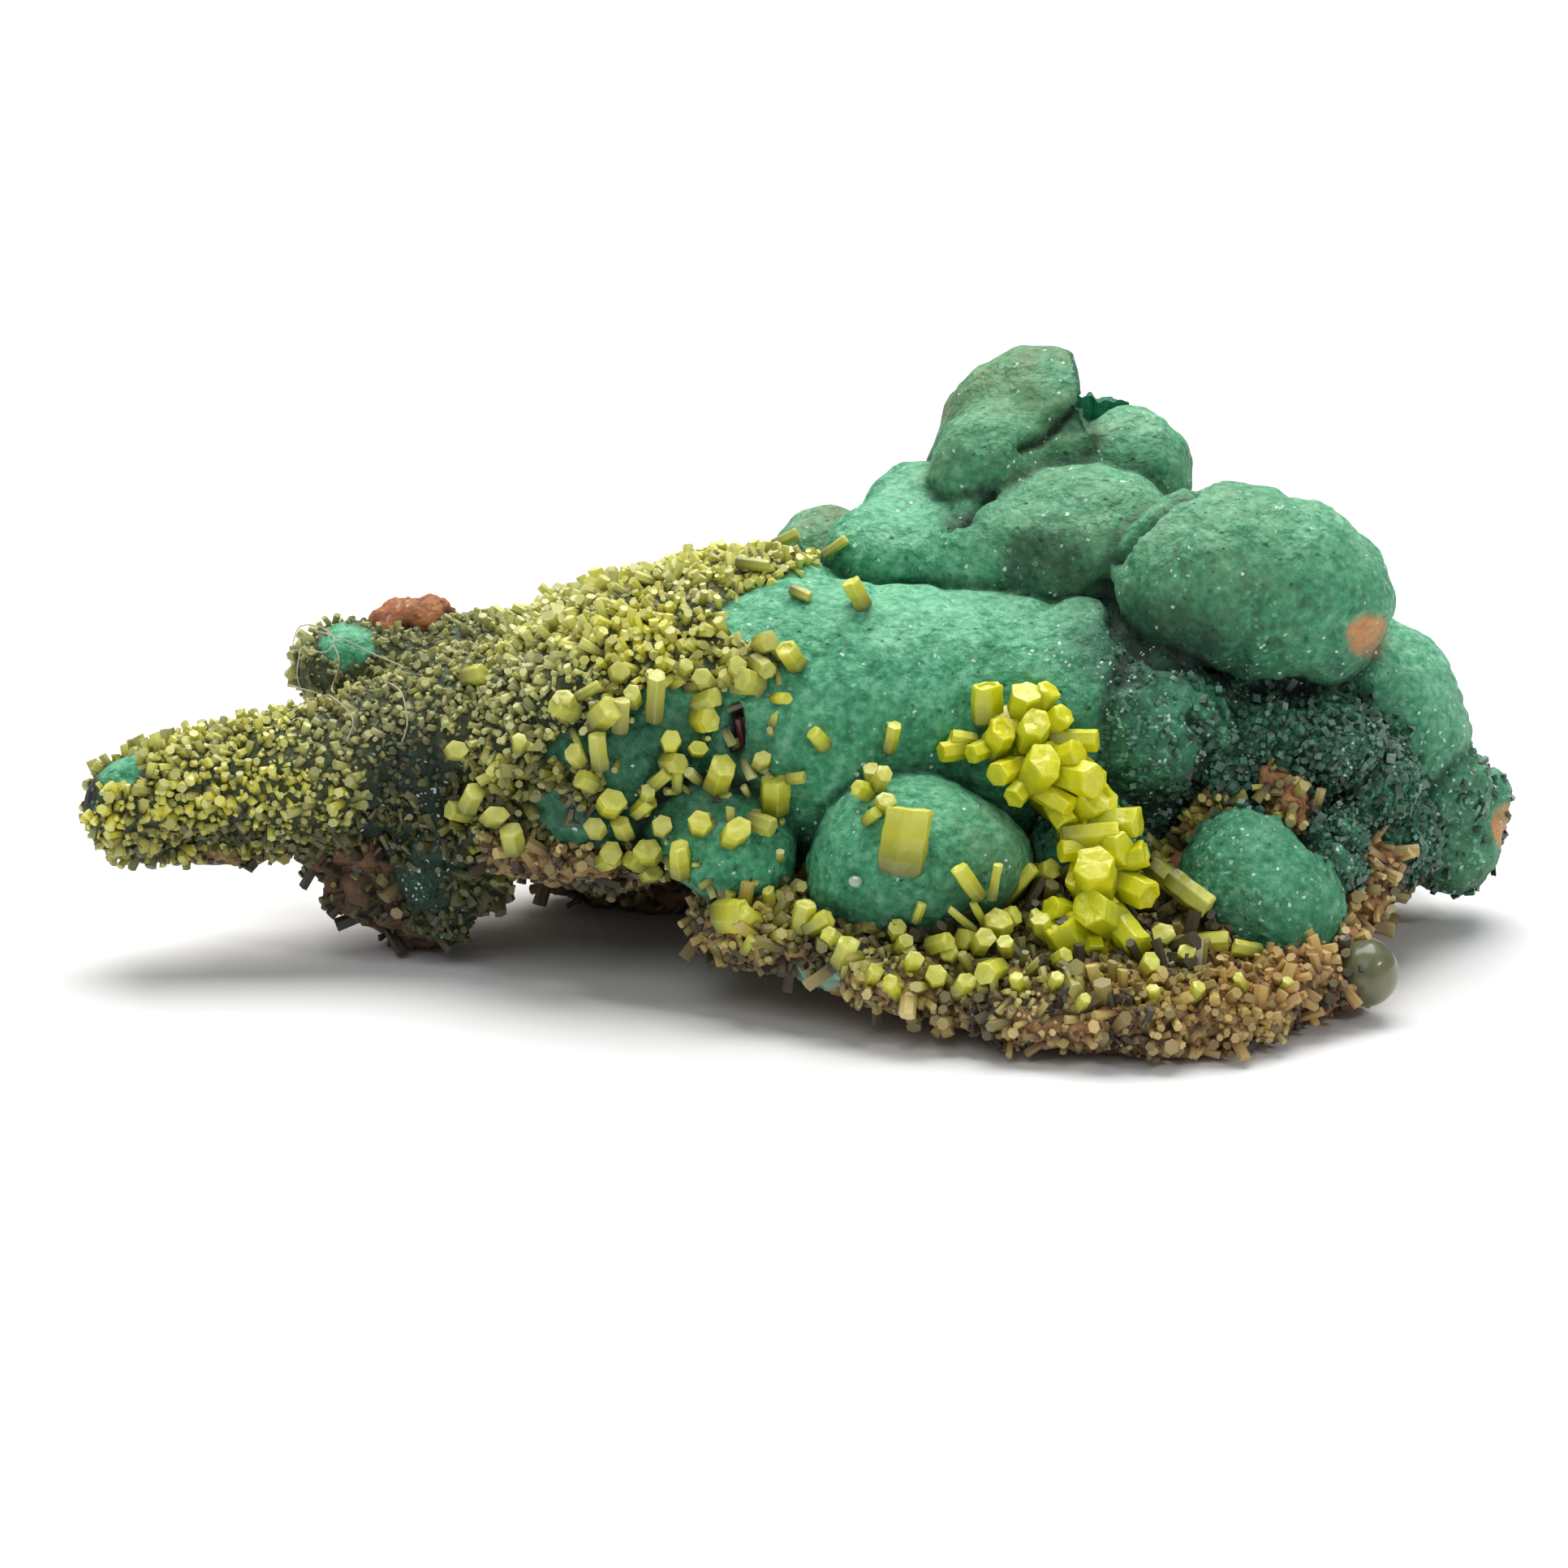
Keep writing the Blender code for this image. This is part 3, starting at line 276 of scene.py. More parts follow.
RIM_CRYSTALS = crystals(
    (1440, 1163, 0.95, 1.4, 100, 70, 0.1), (1487, 1171, 0.85, 2.1, 3, 8, 0.1),
    (1541, 1179, 0.7, 1.2, 170, 15, 0.1), (1218, 1160, 1.15, 1.4, 90, 55, 0.4),
    (1187, 1166, 0.9, 1.2, 170, 45, 0.2), (1227, 1206, 1.0, 1.2, 200, 55, 0.2),
    (1156, 1204, 0.9, 1.1, 90, 75, 0.2), (1151, 1178, 0.8, 1.1, 20, 40, 0.2),
    (1128, 1195, 0.75, 1.0, 60, 60, 0.1), (1098, 1160, 0.8, 1.1, 90, 60, 0.1),
    (1050, 1180, 0.9, 1.3, 70, 40, 0.1), (1030, 1175, 0.8, 1.2, 130, 40, 0.1),
    (990, 1140, 0.9, 1.6, 80, 30, 0.1), (1010, 1150, 0.8, 1.2, 30, 30, 0.1),
    (930, 1140, 0.9, 1.1, 150, 50, 0.1), (1075, 1200, 0.7, 1.1, 60, 50, 0.0),
    (1100, 1215, 0.7, 1.1, 120, 50, 0.0), (1190, 1225, 0.8, 1.1, 60, 50, 0.0),
    (1260, 1220, 0.6, 1.0, 110, 40, 0.0), (1300, 1215, 0.6, 1.1, 70, 50, 0.0),
    (1330, 1240, 0.55, 0.9, 60, 50, 0.0), (1420, 1235, 0.5, 1.0, 100, 50, 0.0),
    (1470, 1225, 0.6, 0.9, 60, 40, 0.0), (1530, 1220, 0.5, 0.9, 120, 40, 0.0),
    (1580, 1220, 0.5, 0.8, 70, 40, 0.0),
    (1130, 1122, 0.4, 0.9, 70, 25, 0.1), (1072, 955, 0.7, 0.9, 100, 40, 0.1),
    (1088, 972, 0.8, 1.0, 60, 50, 0.1), (1070, 985, 0.7, 0.9, 150, 45, 0.1),
    (1092, 998, 0.85, 0.9, 80, 60, 0.1), (1076, 1014, 0.6, 0.8, 40, 40, 0.1),
    (1199, 1115, 0.35, 1.3, 120, 20, 0.5), (1219, 1082, 0.42, 1.5, 80, 15, 0.6),
    (1178, 1122, 0.35, 1.4, 140, 15, 0.5), (1235, 1150, 0.8, 1.0, 30, 40, 0.5),
    (1205, 1180, 0.9, 1.1, 60, 60, 0.4), (1172, 1190, 0.8, 0.9, 120, 70, 0.2),
    (1112, 1180, 0.7, 0.9, 60, 60, 0.2), (1245, 1185, 0.7, 0.9, 100, 50, 0.3),
    (1300, 1190, 0.7, 0.9, 40, 50, 0.2), (1410, 1205, 0.8, 0.9, 60, 60, 0.2),
    (1460, 1195, 0.75, 0.9, 90, 60, 0.2), (1290, 1165, 0.8, 1.2, 100, 40, 0.4),
    (1268, 1150, 0.7, 1.1, 70, 40, 0.4), (1290, 1095, 0.9, 1.0, 30, 60, 0.5),
    (895, 1120, 0.5, 0.9, 80, 30, 0.1), (955, 1120, 0.55, 1.0, 100, 30, 0.1),
    (925, 1165, 0.5, 0.9, 60, 30, 0.1),
)

MALACHITE_GROUPS = (
    (3.0, (
        "core_left", "core_mid", "core_right", "shoulder_low", "shoulder_mid", "shoulder_top",
        "shoulder_bare", "shoulder_bridge", "middle", "middle_right", "back_left", "back_mid", "back_right",
        "back_far", "back_outer", "back_low", "back_low_left",
    )),
    (1.6, ("ridge", "left_mid", "mid_gap", "behind_left")),
    (3.0, ("big_left", "big_bridge", "big_right")),
    (1.2, ("crown_left", "crown_front")),
    (1.2, ("front_dome", "front_bump")),
    (1.4, ("low_bump", "low_bump_front")),
    (2.2, ("right_low", "right_low_front")),
    (2.0, ("outer_top", "outer_green")),
    (1.0, ("right_end", "right_shelf", "right_tip")),
    (2.6, ("arm_root", "arm_upper", "arm_middle", "arm_lower", "arm_end")),
    (1.6, ("ledge_left", "ledge_mid", "ledge_root", "ledge_right")),
    (1.4, ("foot_face", "foot_patch")),
)

MALACHITE_FILM = dict(
    crown_left=0.85, crown_front=0.5, crown_right=0.3, ridge=0.3, ridge_front=0.7, big_left=0.45,
    big_bridge=0.3, big_right=0.15, grey_back=0.9, front_bump=0.85, right_knob=0.4, right_shelf=0.25,
    right_end=0.5, foot_face=0.3, arm_middle=0.3,
)

MALACHITE_ROUGH = dict(
    sparkling=0.6, spray_seat=0.7, middle_right=0.25, right_low=0.25, right_low_front=0.27, right_small=0.9,
    rough_1=1.0, rough_2=1.0, rough_3=1.0, rough_4=1.0, rough_5=1.0, right_knob=0.8, right_shelf=0.5,
    right_end=0.3, right_tip=0.5, outer_green=0.25, outer_top=0.1, foot_face=1.0, foot_patch=0.5,
    core_right=0.8,
)

DRUSE_ON_ARM = dict(
    arm_root=1.0, arm_upper=1.0, arm_middle=1.0, arm_lower=1.0, arm_end=1.0, ledge_left=0.75,
    ledge_mid=0.75, ledge_root=1.0, ledge_right=0.95, foot_face=0.55, foot_patch=0.5,
)

DRUSE_ON_SHOULDER = dict(shoulder_low=1.0, shoulder_mid=1.0, shoulder_top=1.0, back_left=0.7)

PALE_LOBES = dict(outer_green=1.0, outer_top=1.0, left_mid=0.4)
SCAR_LOBES = dict(big_right=1.0)
TIP_LOBES = dict(right_end=1.0, right_tip=1.0, right_shelf=1.0)

LIMONITE_RUST = dict(
    ledge_core=0.5, rust_cap=1.0, rust_seam_1=0.5, rust_seam_2=0.35, rust_seam_3=0.5, right_edge=0.4,
    foot_root=0.3, foot_keel=0.12, rim_right=0.35, bead_seat=0.6,
)

# Darker limonite: the tip's own dark colour and the ledge core, and painted shade on the keel, the foot and
# the base under the mass.
LIMONITE_DARK_AND_SHADE = dict(
    tip_dark=1.0, foot_keel=0.7, foot_tip=0.6, foot_root=0.7, arm_keel=0.45, ledge_core=0.15, base_left=0.3,
    base_mid=0.5, base_core=0.6, base_behind=0.6,
)

SHOULDER_NEIGHBOURS = dict(
    low_bump=1.0, low_bump_front=1.0, shoulder_bare=1.0, foot_patch=0.3, left_mid=0.6,
)

RIM_LOBES = dict(
    rim_left=1.0, rim_mid=1.0, rim_front=1.0, rim_right=0.9, bead_seat=0.6, right_edge=0.7, base_front=0.9,
    base_back=0.45, base_behind=0.25, base_right=0.6, base_mid=0.4, underside_left=1.0, base_left=0.7,
    arm_keel=0.6, keel_end=0.9, tip_tan=0.7, rust_seam_1=0.5, rust_seam_2=0.5, rust_seam_3=0.4,
    ledge_base=0.5, foot_keel=0.4, foot_tip=0.3, foot_root=0.4,
)

# The noises of each surface, and the crumbs with their sizes and seeds.
MASS_SWELL = Noise(5.0, 4, 21)
MASS_GRAIN = Noise(1.0, 3, 31)
MASS_RIPPLE = Noise(2.0, 2, 33)
KNOB_PATCHES = Noise(2.0, 2, 17)
RAGGED_EDGE = Noise(0.9, 2, 45)
BED_RELIEF = Noise(1.2, 2, 35)
SCAR_RELIEF = Noise(0.7, 2, 37)
UNDER_PATCHES = Noise(1.5, 2, 39)
TOP_LIGHT_PATCHES = Noise(1.4, 3, 43)
FILM_PATCHES = Noise(2.4, 3, 47)
ROCK_SWELL = Noise(2.2, 3, 41)
BEAD_DENTS = Noise(0.9, 3, 51)
DRUSE_DRIFT = Noise(3.0, 2, 61)
RIM_DUST = Noise(2.5, 2, 65)
RIM_SHADE = Noise(1.5, 2, 69)
KNOB_TINTS = Noise(2.0, 2, 67)
KNOB_CRUMBS = (0.75, 11)
FINE_KNOB_CRUMBS = (0.42, 13)
BACK_CRUMBS = (2.6, 23)
ROCK_CRUMBS = (1.0, 5)
FINE_ROCK_CRUMBS = (0.5, 9)

DENSE_SHOULDER = (
    (545, 1065), (540, 880), (590, 800), (635, 750), (700, 715), (830, 675), (960, 640), (1015, 640),
    (1005, 690), (960, 712), (905, 735), (880, 765), (905, 788), (960, 800), (965, 825), (930, 842),
    (880, 850), (850, 850), (820, 842), (790, 850), (755, 895), (722, 905), (690, 905), (668, 930),
    (700, 945), (735, 950), (742, 985), (722, 1010), (700, 985), (676, 960), (660, 975), (655, 1010),
    (690, 1035), (735, 1060), (790, 1072), (830, 1085), (760, 1120), (560, 1120),
)
SPARSE_SHOULDER = (
    (660, 900), (760, 850), (900, 850), (960, 880), (960, 1010), (1000, 1080), (960, 1160), (780, 1110),
    (660, 1040),
)

# Where colours change, in pixels: across the arm and shoulder, and along the rim.
ARM_END_AT, GREY_FROM, GREY_TO, GREY_DOWN_TO = (200.0, 420.0), (330.0, 420.0), (560.0, 640.0), (930.0, 1010.0)
MOSSY_FROM, MOSSY_TO, ARM_TO, RUSTY_FROM = (840.0, 900.0), (1480.0, 1640.0), (420.0, 480.0), (1300.0, 1650.0)
GREY_SHRINK = 0.3

DARK_GAP = ((455, 930), (560, 900), (560, 1180), (440, 1180), (430, 1080))
RUSTY_RIM = ((1080, 1180), (1700, 1100), (1720, 1240), (1400, 1330), (1080, 1290))


@dataclass(frozen=True)
class Seam:
    """A crack seen in the picture: a line through pixels and half its width in pixels."""

    line: Picture
    half_width: float
    edge: float = 1.4

    def weight(self, pixels: Array) -> Array:
        """One on the line, none past its half width, by the distance to its nearest straight stretch."""
        nearest = np.full(len(pixels), FAR)
        for start, end in itertools.pairwise(np.array(self.line, dtype=float)):
            way = end - start
            share = np.clip((pixels - start) @ way / (way @ way), 0.0, 1.0)
            nearest = np.minimum(nearest, np.linalg.norm(pixels - start - share[:, None] * way, axis=1))
        return np.clip(self.edge - nearest / self.half_width * self.edge, 0.0, 1.0)


@dataclass(frozen=True)
class Spot:
    """A patch seen in the picture: its middle and half sizes in pixels."""

    seen_x: float
    seen_y: float
    half_width: float
    half_height: float

    def weight(self, pixels: Array, edge: float = 0.35) -> Array:
        """One inside the ellipse, none outside, with a soft edge of that share of its size."""
        across = (pixels[:, 0] - self.seen_x) / self.half_width
        down = (pixels[:, 1] - self.seen_y) / self.half_height
        reach = np.hypot(across, down)
        return np.clip((1.0 + edge - reach) / edge, 0.0, 1.0)


# Cracks seen in the picture, sunk into the mass and darkened with painted shade.
ARM_GROOVE = Seam(((196, 1052), (240, 1034), (296, 1024), (336, 1034), (380, 1056)), 8.0)
SEAMS = (
    Seam(((1336, 492), (1314, 512), (1292, 540), (1262, 550)), 8.0),
    Seam(((1222, 606), (1190, 628), (1168, 652)), 8.0),
    Seam(((1486, 600), (1446, 622), (1404, 655), (1372, 690)), 6.0),
    ARM_GROOVE,
    Seam(((1360, 720), (1376, 780), (1424, 818), (1478, 822), (1512, 846)), 9.0),
    Seam(((1470, 880), (1500, 930), (1470, 990), (1440, 1030)), 12.0),
    Seam(((1620, 960), (1640, 1020), (1690, 1060), (1700, 1100)), 11.0),
    Seam(((1520, 985), (1580, 1000), (1620, 1040)), 9.0),
)
BARE_SPOTS = (
    Spot(100, 972, 22, 30), Spot(146, 945, 26, 22), Spot(430, 795, 30, 20), Spot(592, 1070, 18, 36),
    Spot(520, 1090, 26, 30),
)
SALMON_SCAR = Spot(1690, 786, 26, 24)
# Pits, sunk into the mass and darkened with painted shade.
SHARD_PIT = Spot(905, 900, 9, 30)
SIDE_PIT = Spot(1180, 636, 17, 9)
ORANGE_TIP = Spot(1856, 1018, 16, 24)
# Painted shade in these patches, from the hollow to the crown's cleft; painted light on the lit shoulder.
SHADED_HOLLOW = Spot(1572, 858, 46, 11)
SHADED_SIDE = Spot(770, 945, 150, 70)
SHADED_GAP = Spot(510, 1030, 60, 110)
FOOT_ZONE = Spot(470, 1110, 120, 80)
SHADE_UNDER_SHOULDER = Spot(700, 1110, 140, 45)
SHADED_APRON = Spot(1290, 1135, 210, 40)
SHADE_UNDER_BIG_LOBE = Spot(1420, 790, 70, 42)
SHADED_LOW = Spot(680, 1010, 60, 60)
LIT_SHOULDER = Spot(810, 730, 170, 60)
CROWN_CLEFT = Spot(1316, 520, 20, 12)
TIP_STAIN = Spot(100, 972, 20, 28)
TEAL_ON_RIM = Spot(1003, 1206, 32, 14)
GOLDEN_ARM = Spot(280, 1010, 170, 40)
YELLOW_CREST, YELLOW_LEFT = Spot(900, 800, 120, 50), Spot(660, 1000, 110, 50)
YELLOW_LOW, YELLOW_TOP = Spot(790, 1040, 120, 50), Spot(960, 665, 90, 40)


def tone(red: int, green: int, blue: int) -> tuple[float, float, float, float]:
    """The linear colour of three 8-bit display values, each put through the display curve backwards."""
    shares = (value / 255.0 for value in (red, green, blue))
    linear = [share / 12.92 if share <= 0.04045 else ((share + 0.055) / 1.055) ** 2.4 for share in shares]
    return (*linear, 1.0)


def unit(vectors: Array) -> Array:
    """Each row divided by its own length."""
    return vectors / np.maximum(np.linalg.norm(vectors, axis=-1, keepdims=True), TINY)


def ramp(values: Array, low: float, high: float) -> Array:
    """A smooth rise from none at low to one at high: three squares less two cubes of the share."""
    share = np.clip((values - low) / (high - low), 0.0, 1.0)
    return share * share * (3.0 - 2.0 * share)


def inside(pixels: Array, outline: Picture) -> Array:
    """Whether pixels lie in an outline: a line to the right crosses its edge an odd number of times."""
    corners = np.array(outline, dtype=float)
    odd = np.zeros(len(pixels), dtype=bool)
    for (x0, y0), (x1, y1) in zip(corners, np.roll(corners, -1, axis=0)):
        spans = (y0 > pixels[:, 1]) != (y1 > pixels[:, 1])
        crossing = x0 + (pixels[:, 1] - y0) * (x1 - x0) / ((y1 - y0) or TINY)
        odd ^= spans & (pixels[:, 0] < crossing)
    return odd


# Factors that mix a cell's whole numbers, and how far a grain's own share is from its seed.
OWN_SHARE_STEP = 7
SEED_FACTOR = 2654435761
AXIS_FACTORS = (73856093, 19349663, 83492791)
FIRST_MIX, LAST_MIX = np.uint32(2246822519), np.uint32(3266489917)
WORD = 0xFFFFFFFF


def hashed(cells: Array, seed: int) -> Array:
    """A steady random share for each whole-number cell: its coordinates mixed by products and shifts."""
    mixed = np.full(len(cells), np.uint32(seed * SEED_FACTOR & WORD), dtype=np.uint32)
    for column, factor in zip(cells.T.astype(np.int64), AXIS_FACTORS):
        mixed ^= (column * factor & WORD).astype(np.uint32)
        mixed = (mixed ^ (mixed >> np.uint32(15))) * FIRST_MIX
    mixed = (mixed ^ (mixed >> np.uint32(13))) * LAST_MIX
    mixed ^= mixed >> np.uint32(16)
    return mixed.astype(np.float64) / WORD


def value_noise(points: Array, size: float, seed: int) -> Array:
    """Smooth random values from -1 to 1: the eight corners of a lattice cell, blended by a fade curve."""
    scaled = points / size
    cells = np.floor(scaled)
    share = scaled - cells
    fade = share * share * share * (share * (share * 6.0 - 15.0) + 10.0)
    total = np.zeros(len(points))
    for corner in itertools.product((0, 1), repeat=3):
        weight = np.prod(np.where(corner, fade, 1.0 - fade), axis=1)
        total += weight * hashed(cells + corner, seed)
    return total * 2.0 - 1.0


def fractal(points: Array, size: float, octaves: int, seed: int) -> Array:
    """A sum of value noises, each half the size and half the height of the one before."""
    layers = [0.5**layer * value_noise(points, size * 0.5**layer, seed + layer) for layer in range(octaves)]
    return np.sum(layers, axis=0) / (2.0 - 0.5 ** (octaves - 1))


def crumbs(points: Array, size: float, seed: int) -> tuple[Array, Array]:
    """Rounded grains: how near each point is to the closest of a lattice of strewn centres.

    Args:
        points: Places in millimetres, one a row.
        size: The lattice's cell in millimetres.
        seed: Which strewing.

    Returns:
        A height from one at a grain's middle to none or less in the gaps, and the grain's own random share.
    """
    scaled = points / size
    cells = np.floor(scaled)
    nearest = np.full(len(points), FAR)
    share = np.zeros(len(points))
    for step in itertools.product((-1, 0, 1), repeat=3):
        cell = cells + step
        centre = cell + np.stack([hashed(cell, seed + axis) for axis in range(3)], axis=1)
        reach = np.linalg.norm(scaled - centre, axis=1)
        closer = reach < nearest
        nearest = np.where(closer, reach, nearest)
        share = np.where(closer, hashed(cell, seed + OWN_SHARE_STEP), share)
    return 1.0 - nearest * nearest * 1.6, share


@dataclass(frozen=True)
class Sight:
    """The view of the display face, in millimetres and degrees, and how a place falls on the picture."""

    elevation: float = 16.0
    distance: float = 230.0
    centre: tuple[float, float, float] = (0.0, 0.0, 6.87)
    picture_middle: float = 966.0
    picture_width_there: float = 65.1
    sensor: float = 36.0
    clip_start: float = 0.01

    @property
    def right(self) -> Array:
        """The picture's right."""
        return np.array((1.0, 0.0, 0.0))

    @property
    def ahead(self) -> Array:
        """The way that the viewer looks."""
        lean = math.radians(self.elevation)
        return np.array((0.0, math.cos(lean), -math.sin(lean)))

    @property
    def up(self) -> Array:
        """The picture's up."""
        return np.cross(self.right, self.ahead)

    @property
    def eye(self) -> Array:
        """Where the viewer stands."""
        return np.array(self.centre) - self.ahead * self.distance

    @property
    def reach(self) -> float:
        """The picture's distance in pixels."""
        return 2.0 * self.picture_middle * self.distance / self.picture_width_there

    def pixels(self, points: Array) -> Array:
        """Where places fall on the picture: their offsets across and up, over their depth.

        Args:
            points: Places in millimetres, one a row.

        Returns:
            Columns x and y in pixels.
        """
        offset = points - self.eye
        depth = offset @ self.ahead
        across = self.picture_middle + self.reach * (offset @ self.right) / depth
        down = self.picture_middle - self.reach * (offset @ self.up) / depth
        return np.stack((across, down), axis=1)

    def line(self, seen_x: float, seen_y: float) -> Array:
        """The unit direction in which a pixel is seen."""
        across, above = seen_x - self.picture_middle, self.picture_middle - seen_y
        return unit(self.ahead * self.reach + self.right * across + self.up * above)

    def axis(self, crystal: Crystal) -> Array:
        """The direction of a crystal's long axis."""
        lean, facing = math.radians(crystal.lean), math.radians(crystal.facing)
        in_picture = self.right * math.cos(lean) + self.up * math.sin(lean)
        return in_picture * math.cos(facing) - self.ahead * math.sin(facing)

    def add_camera(self) -> bpy.types.Object:
        """Puts the scene's camera at the eye."""
        lens = bpy.data.cameras.new("display face camera")
        lens.sensor_width = self.sensor
        lens.lens = self.sensor * self.distance / self.picture_width_there
        lens.clip_start = self.clip_start
        camera = bpy.data.objects.new("display face camera", lens)
        camera.location = Vector((self.eye - FOOTPRINT_MIDDLE) * MM)
        camera.rotation_euler = Vector(self.ahead).to_track_quat("-Z", "Y").to_euler()
        bpy.context.scene.collection.objects.link(camera)
        bpy.context.scene.camera = camera
        return camera


SIGHT = Sight()


@dataclass
class Surface:
    """Points in millimetres, faces as whole-number rows of equal length, and values at the points."""

    points: Array
    faces: list[Array]
    values: dict[str, Array] = field(default_factory=dict)

    def corner_normals(self) -> Array:
        """A unit normal at each point: the sum of its faces' normals, each as long as its area twice."""
        total = np.zeros_like(self.points)
        for rows in self.faces:
            normal = self.face_normals(rows)
            for column in rows.T:
                for axis in range(3):
                    total[:, axis] += np.bincount(column, weights=normal[:, axis], minlength=len(total))
        return unit(total)

    def face_normals(self, rows: Array) -> Array:
        """The cross product of each face's two diagonals, or of a triangle's two sides."""
        corners = self.points[rows]
        return np.cross(corners[:, 2] - corners[:, 0], corners[:, -1] - corners[:, 1])

    def mesh(self, name: str, smooth: bool) -> bpy.types.Mesh:
        """The surface as a mesh in the frame, in metres.

        Args:
            name: The mesh's name.
            smooth: Whether its faces are shaded as one.

        Returns:
            The mesh.
        """
        mesh = bpy.data.meshes.new(name)
        corners = np.concatenate([rows.reshape(-1) for rows in self.faces]).astype(np.int32)
        counts = np.concatenate([np.full(len(rows), rows.shape[1]) for rows in self.faces])
        starts = np.concatenate(([0], np.cumsum(counts)[:-1])).astype(np.int32)
        mesh.vertices.add(len(self.points))
        mesh.loops.add(len(corners))
        mesh.polygons.add(len(counts))
        mesh.vertices.foreach_set("co", ((self.points - FOOTPRINT_MIDDLE) * MM).astype(np.float32).ravel())
        mesh.loops.foreach_set("vertex_index", corners)
        mesh.polygons.foreach_set("loop_start", starts)
        mesh.polygons.foreach_set("use_smooth", np.full(len(counts), smooth))
        mesh.update(calc_edges=True)
        for label, share in self.values.items():
            mesh.attributes.new(label, "FLOAT", "POINT").data.foreach_set("value", share.astype(np.float32))
        return mesh


def joined(surfaces: Iterable[Surface]) -> Surface:
    """Several surfaces as one: their points one after the other, their faces renumbered."""
    surfaces = list(surfaces)
    starts = np.cumsum([0, *[len(surface.points) for surface in surfaces]])
    faces = [rows + start for surface, start in zip(surfaces, starts) for rows in surface.faces]
    values = {label: np.concatenate([one.values[label] for one in surfaces]) for label in surfaces[0].values}
    return Surface(np.concatenate([surface.points for surface in surfaces]), faces, values)


def band(rows: int, around: int, flipped: bool = False) -> tuple[Array, Array]:
    """A band of points that closes round on itself, row after row.

    Args:
        rows: How many rows it has.
        around: How many points a row has.
        flipped: Whether its faces turn the other way.

    Returns:
        The points' numbers on a grid, and the four-sided faces between the rows.
    """
    grid = np.arange(rows * around).reshape(rows, around)
    after = np.roll(grid, -1, axis=1)
    corners = (grid[:-1], after[:-1], after[1:], grid[1:])
    if flipped:
        corners = (grid[:-1], grid[1:], after[1:], after[:-1])
    return grid, np.stack(corners, axis=-1).reshape(-1, 4)


def piece(
    name: str,
    surface: Surface,
    material: bpy.types.Material,
    stands_for: Sequence[str] = (),
    smooth: bool = True,
) -> bpy.types.Object:
    """Puts a finished surface in the scene as a piece of the specimen.

    Args:
        name: The piece's name.
        surface: Its shape.
        material: Its finish.
        stands_for: The CAD nodes that it replaces.
        smooth: Whether its faces are shaded as one.

    Returns:
        The new object.
    """
    obj = bpy.data.objects.new(name, surface.mesh(name, smooth))
    bpy.context.scene.collection.objects.link(obj)
    obj.data.materials.append(material)
    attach(obj, "root")
    if stands_for:
        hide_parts(*stands_for)
    LOG.info("%s: %d points, %d faces", name, len(obj.data.vertices), len(obj.data.polygons))
    return obj


def ellipsoid(lobe: Lobe, rings: int = 40, segments: int = 64) -> Surface:
    """A closed ellipsoid: latitude and longitude on a grid, with one point for each pole.

    Args:
        lobe: Its middle, radii, turn and fracture. Points past the fracture are pressed back on to it.
        rings: How many circles of latitude lie between the poles.
        segments: How many points a circle has.

    Returns:
        The surface, its faces outwards.
    """
    latitude, longitude = np.meshgrid(
        np.linspace(0.0, math.pi, rings + 2)[1:-1], np.arange(segments) * math.tau / segments, indexing="ij"
    )
    wide = np.sin(latitude)
    ring = np.stack((wide * np.cos(longitude), wide * np.sin(longitude), np.cos(latitude)), axis=-1)
    sphere = np.concatenate((ring.reshape(-1, 3), [[0.0, 0.0, 1.0], [0.0, 0.0, -1.0]]))
    points = (sphere * lobe[3:6]) @ turn_about_y(lobe.turn).T
    if math.isfinite(lobe.broken_at):
        excess = np.maximum(points @ FRACTURE - lobe.broken_at, 0.0)
        points = points - excess[:, None] * FRACTURE
    grid, sides = band(rings, segments, flipped=True)
    after = np.roll(grid, -1, axis=1)
    top, foot = rings * segments, rings * segments + 1
    top_fan = np.stack((np.full(segments, top), grid[0], after[0]), axis=-1)
    foot_fan = np.stack((np.full(segments, foot), after[-1], grid[-1]), axis=-1)
    return Surface(points + lobe[:3], [sides, top_fan, foot_fan])


def turn_about_y(degrees: float) -> Array:
    """The matrix of a turn about Y."""
    angle = math.radians(degrees)
    cosine, sine = math.cos(angle), math.sin(angle)
    return np.array(((cosine, 0.0, sine), (0.0, 1.0, 0.0), (-sine, 0.0, cosine)))


def voxel_skin(surface: Surface, voxel: float) -> Surface:
    """One even skin of four-sided faces round overlapping closed surfaces, by a Remesh modifier.

    Args:
        surface: The overlapping surfaces.
        voxel: The side of a voxel in millimetres.

    Returns:
        The largest closed shell of the skin.
    """
    helper = bpy.data.objects.new("skin helper", surface.mesh("skin helper", False))
    bpy.context.scene.collection.objects.link(helper)
    remesh = helper.modifiers.new("one skin", "REMESH")
    remesh.mode = "VOXEL"
    remesh.voxel_size = voxel * MM
    graph = bpy.context.evaluated_depsgraph_get()
    graph.update()
    made = helper.evaluated_get(graph).to_mesh()
    points = np.empty(len(made.vertices) * 3, dtype=np.float32)
    made.vertices.foreach_get("co", points)
    corners = np.empty(len(made.loops), dtype=np.int32)
    made.loops.foreach_get("vertex_index", corners)
    helper.evaluated_get(graph).to_mesh_clear()
    source = helper.data
    bpy.data.objects.remove(helper)
    bpy.data.meshes.remove(source)
    quads = corners.reshape(-1, 4).astype(np.int64)
    return largest_shell(points.reshape(-1, 3).astype(float) / MM + FOOTPRINT_MIDDLE, quads)


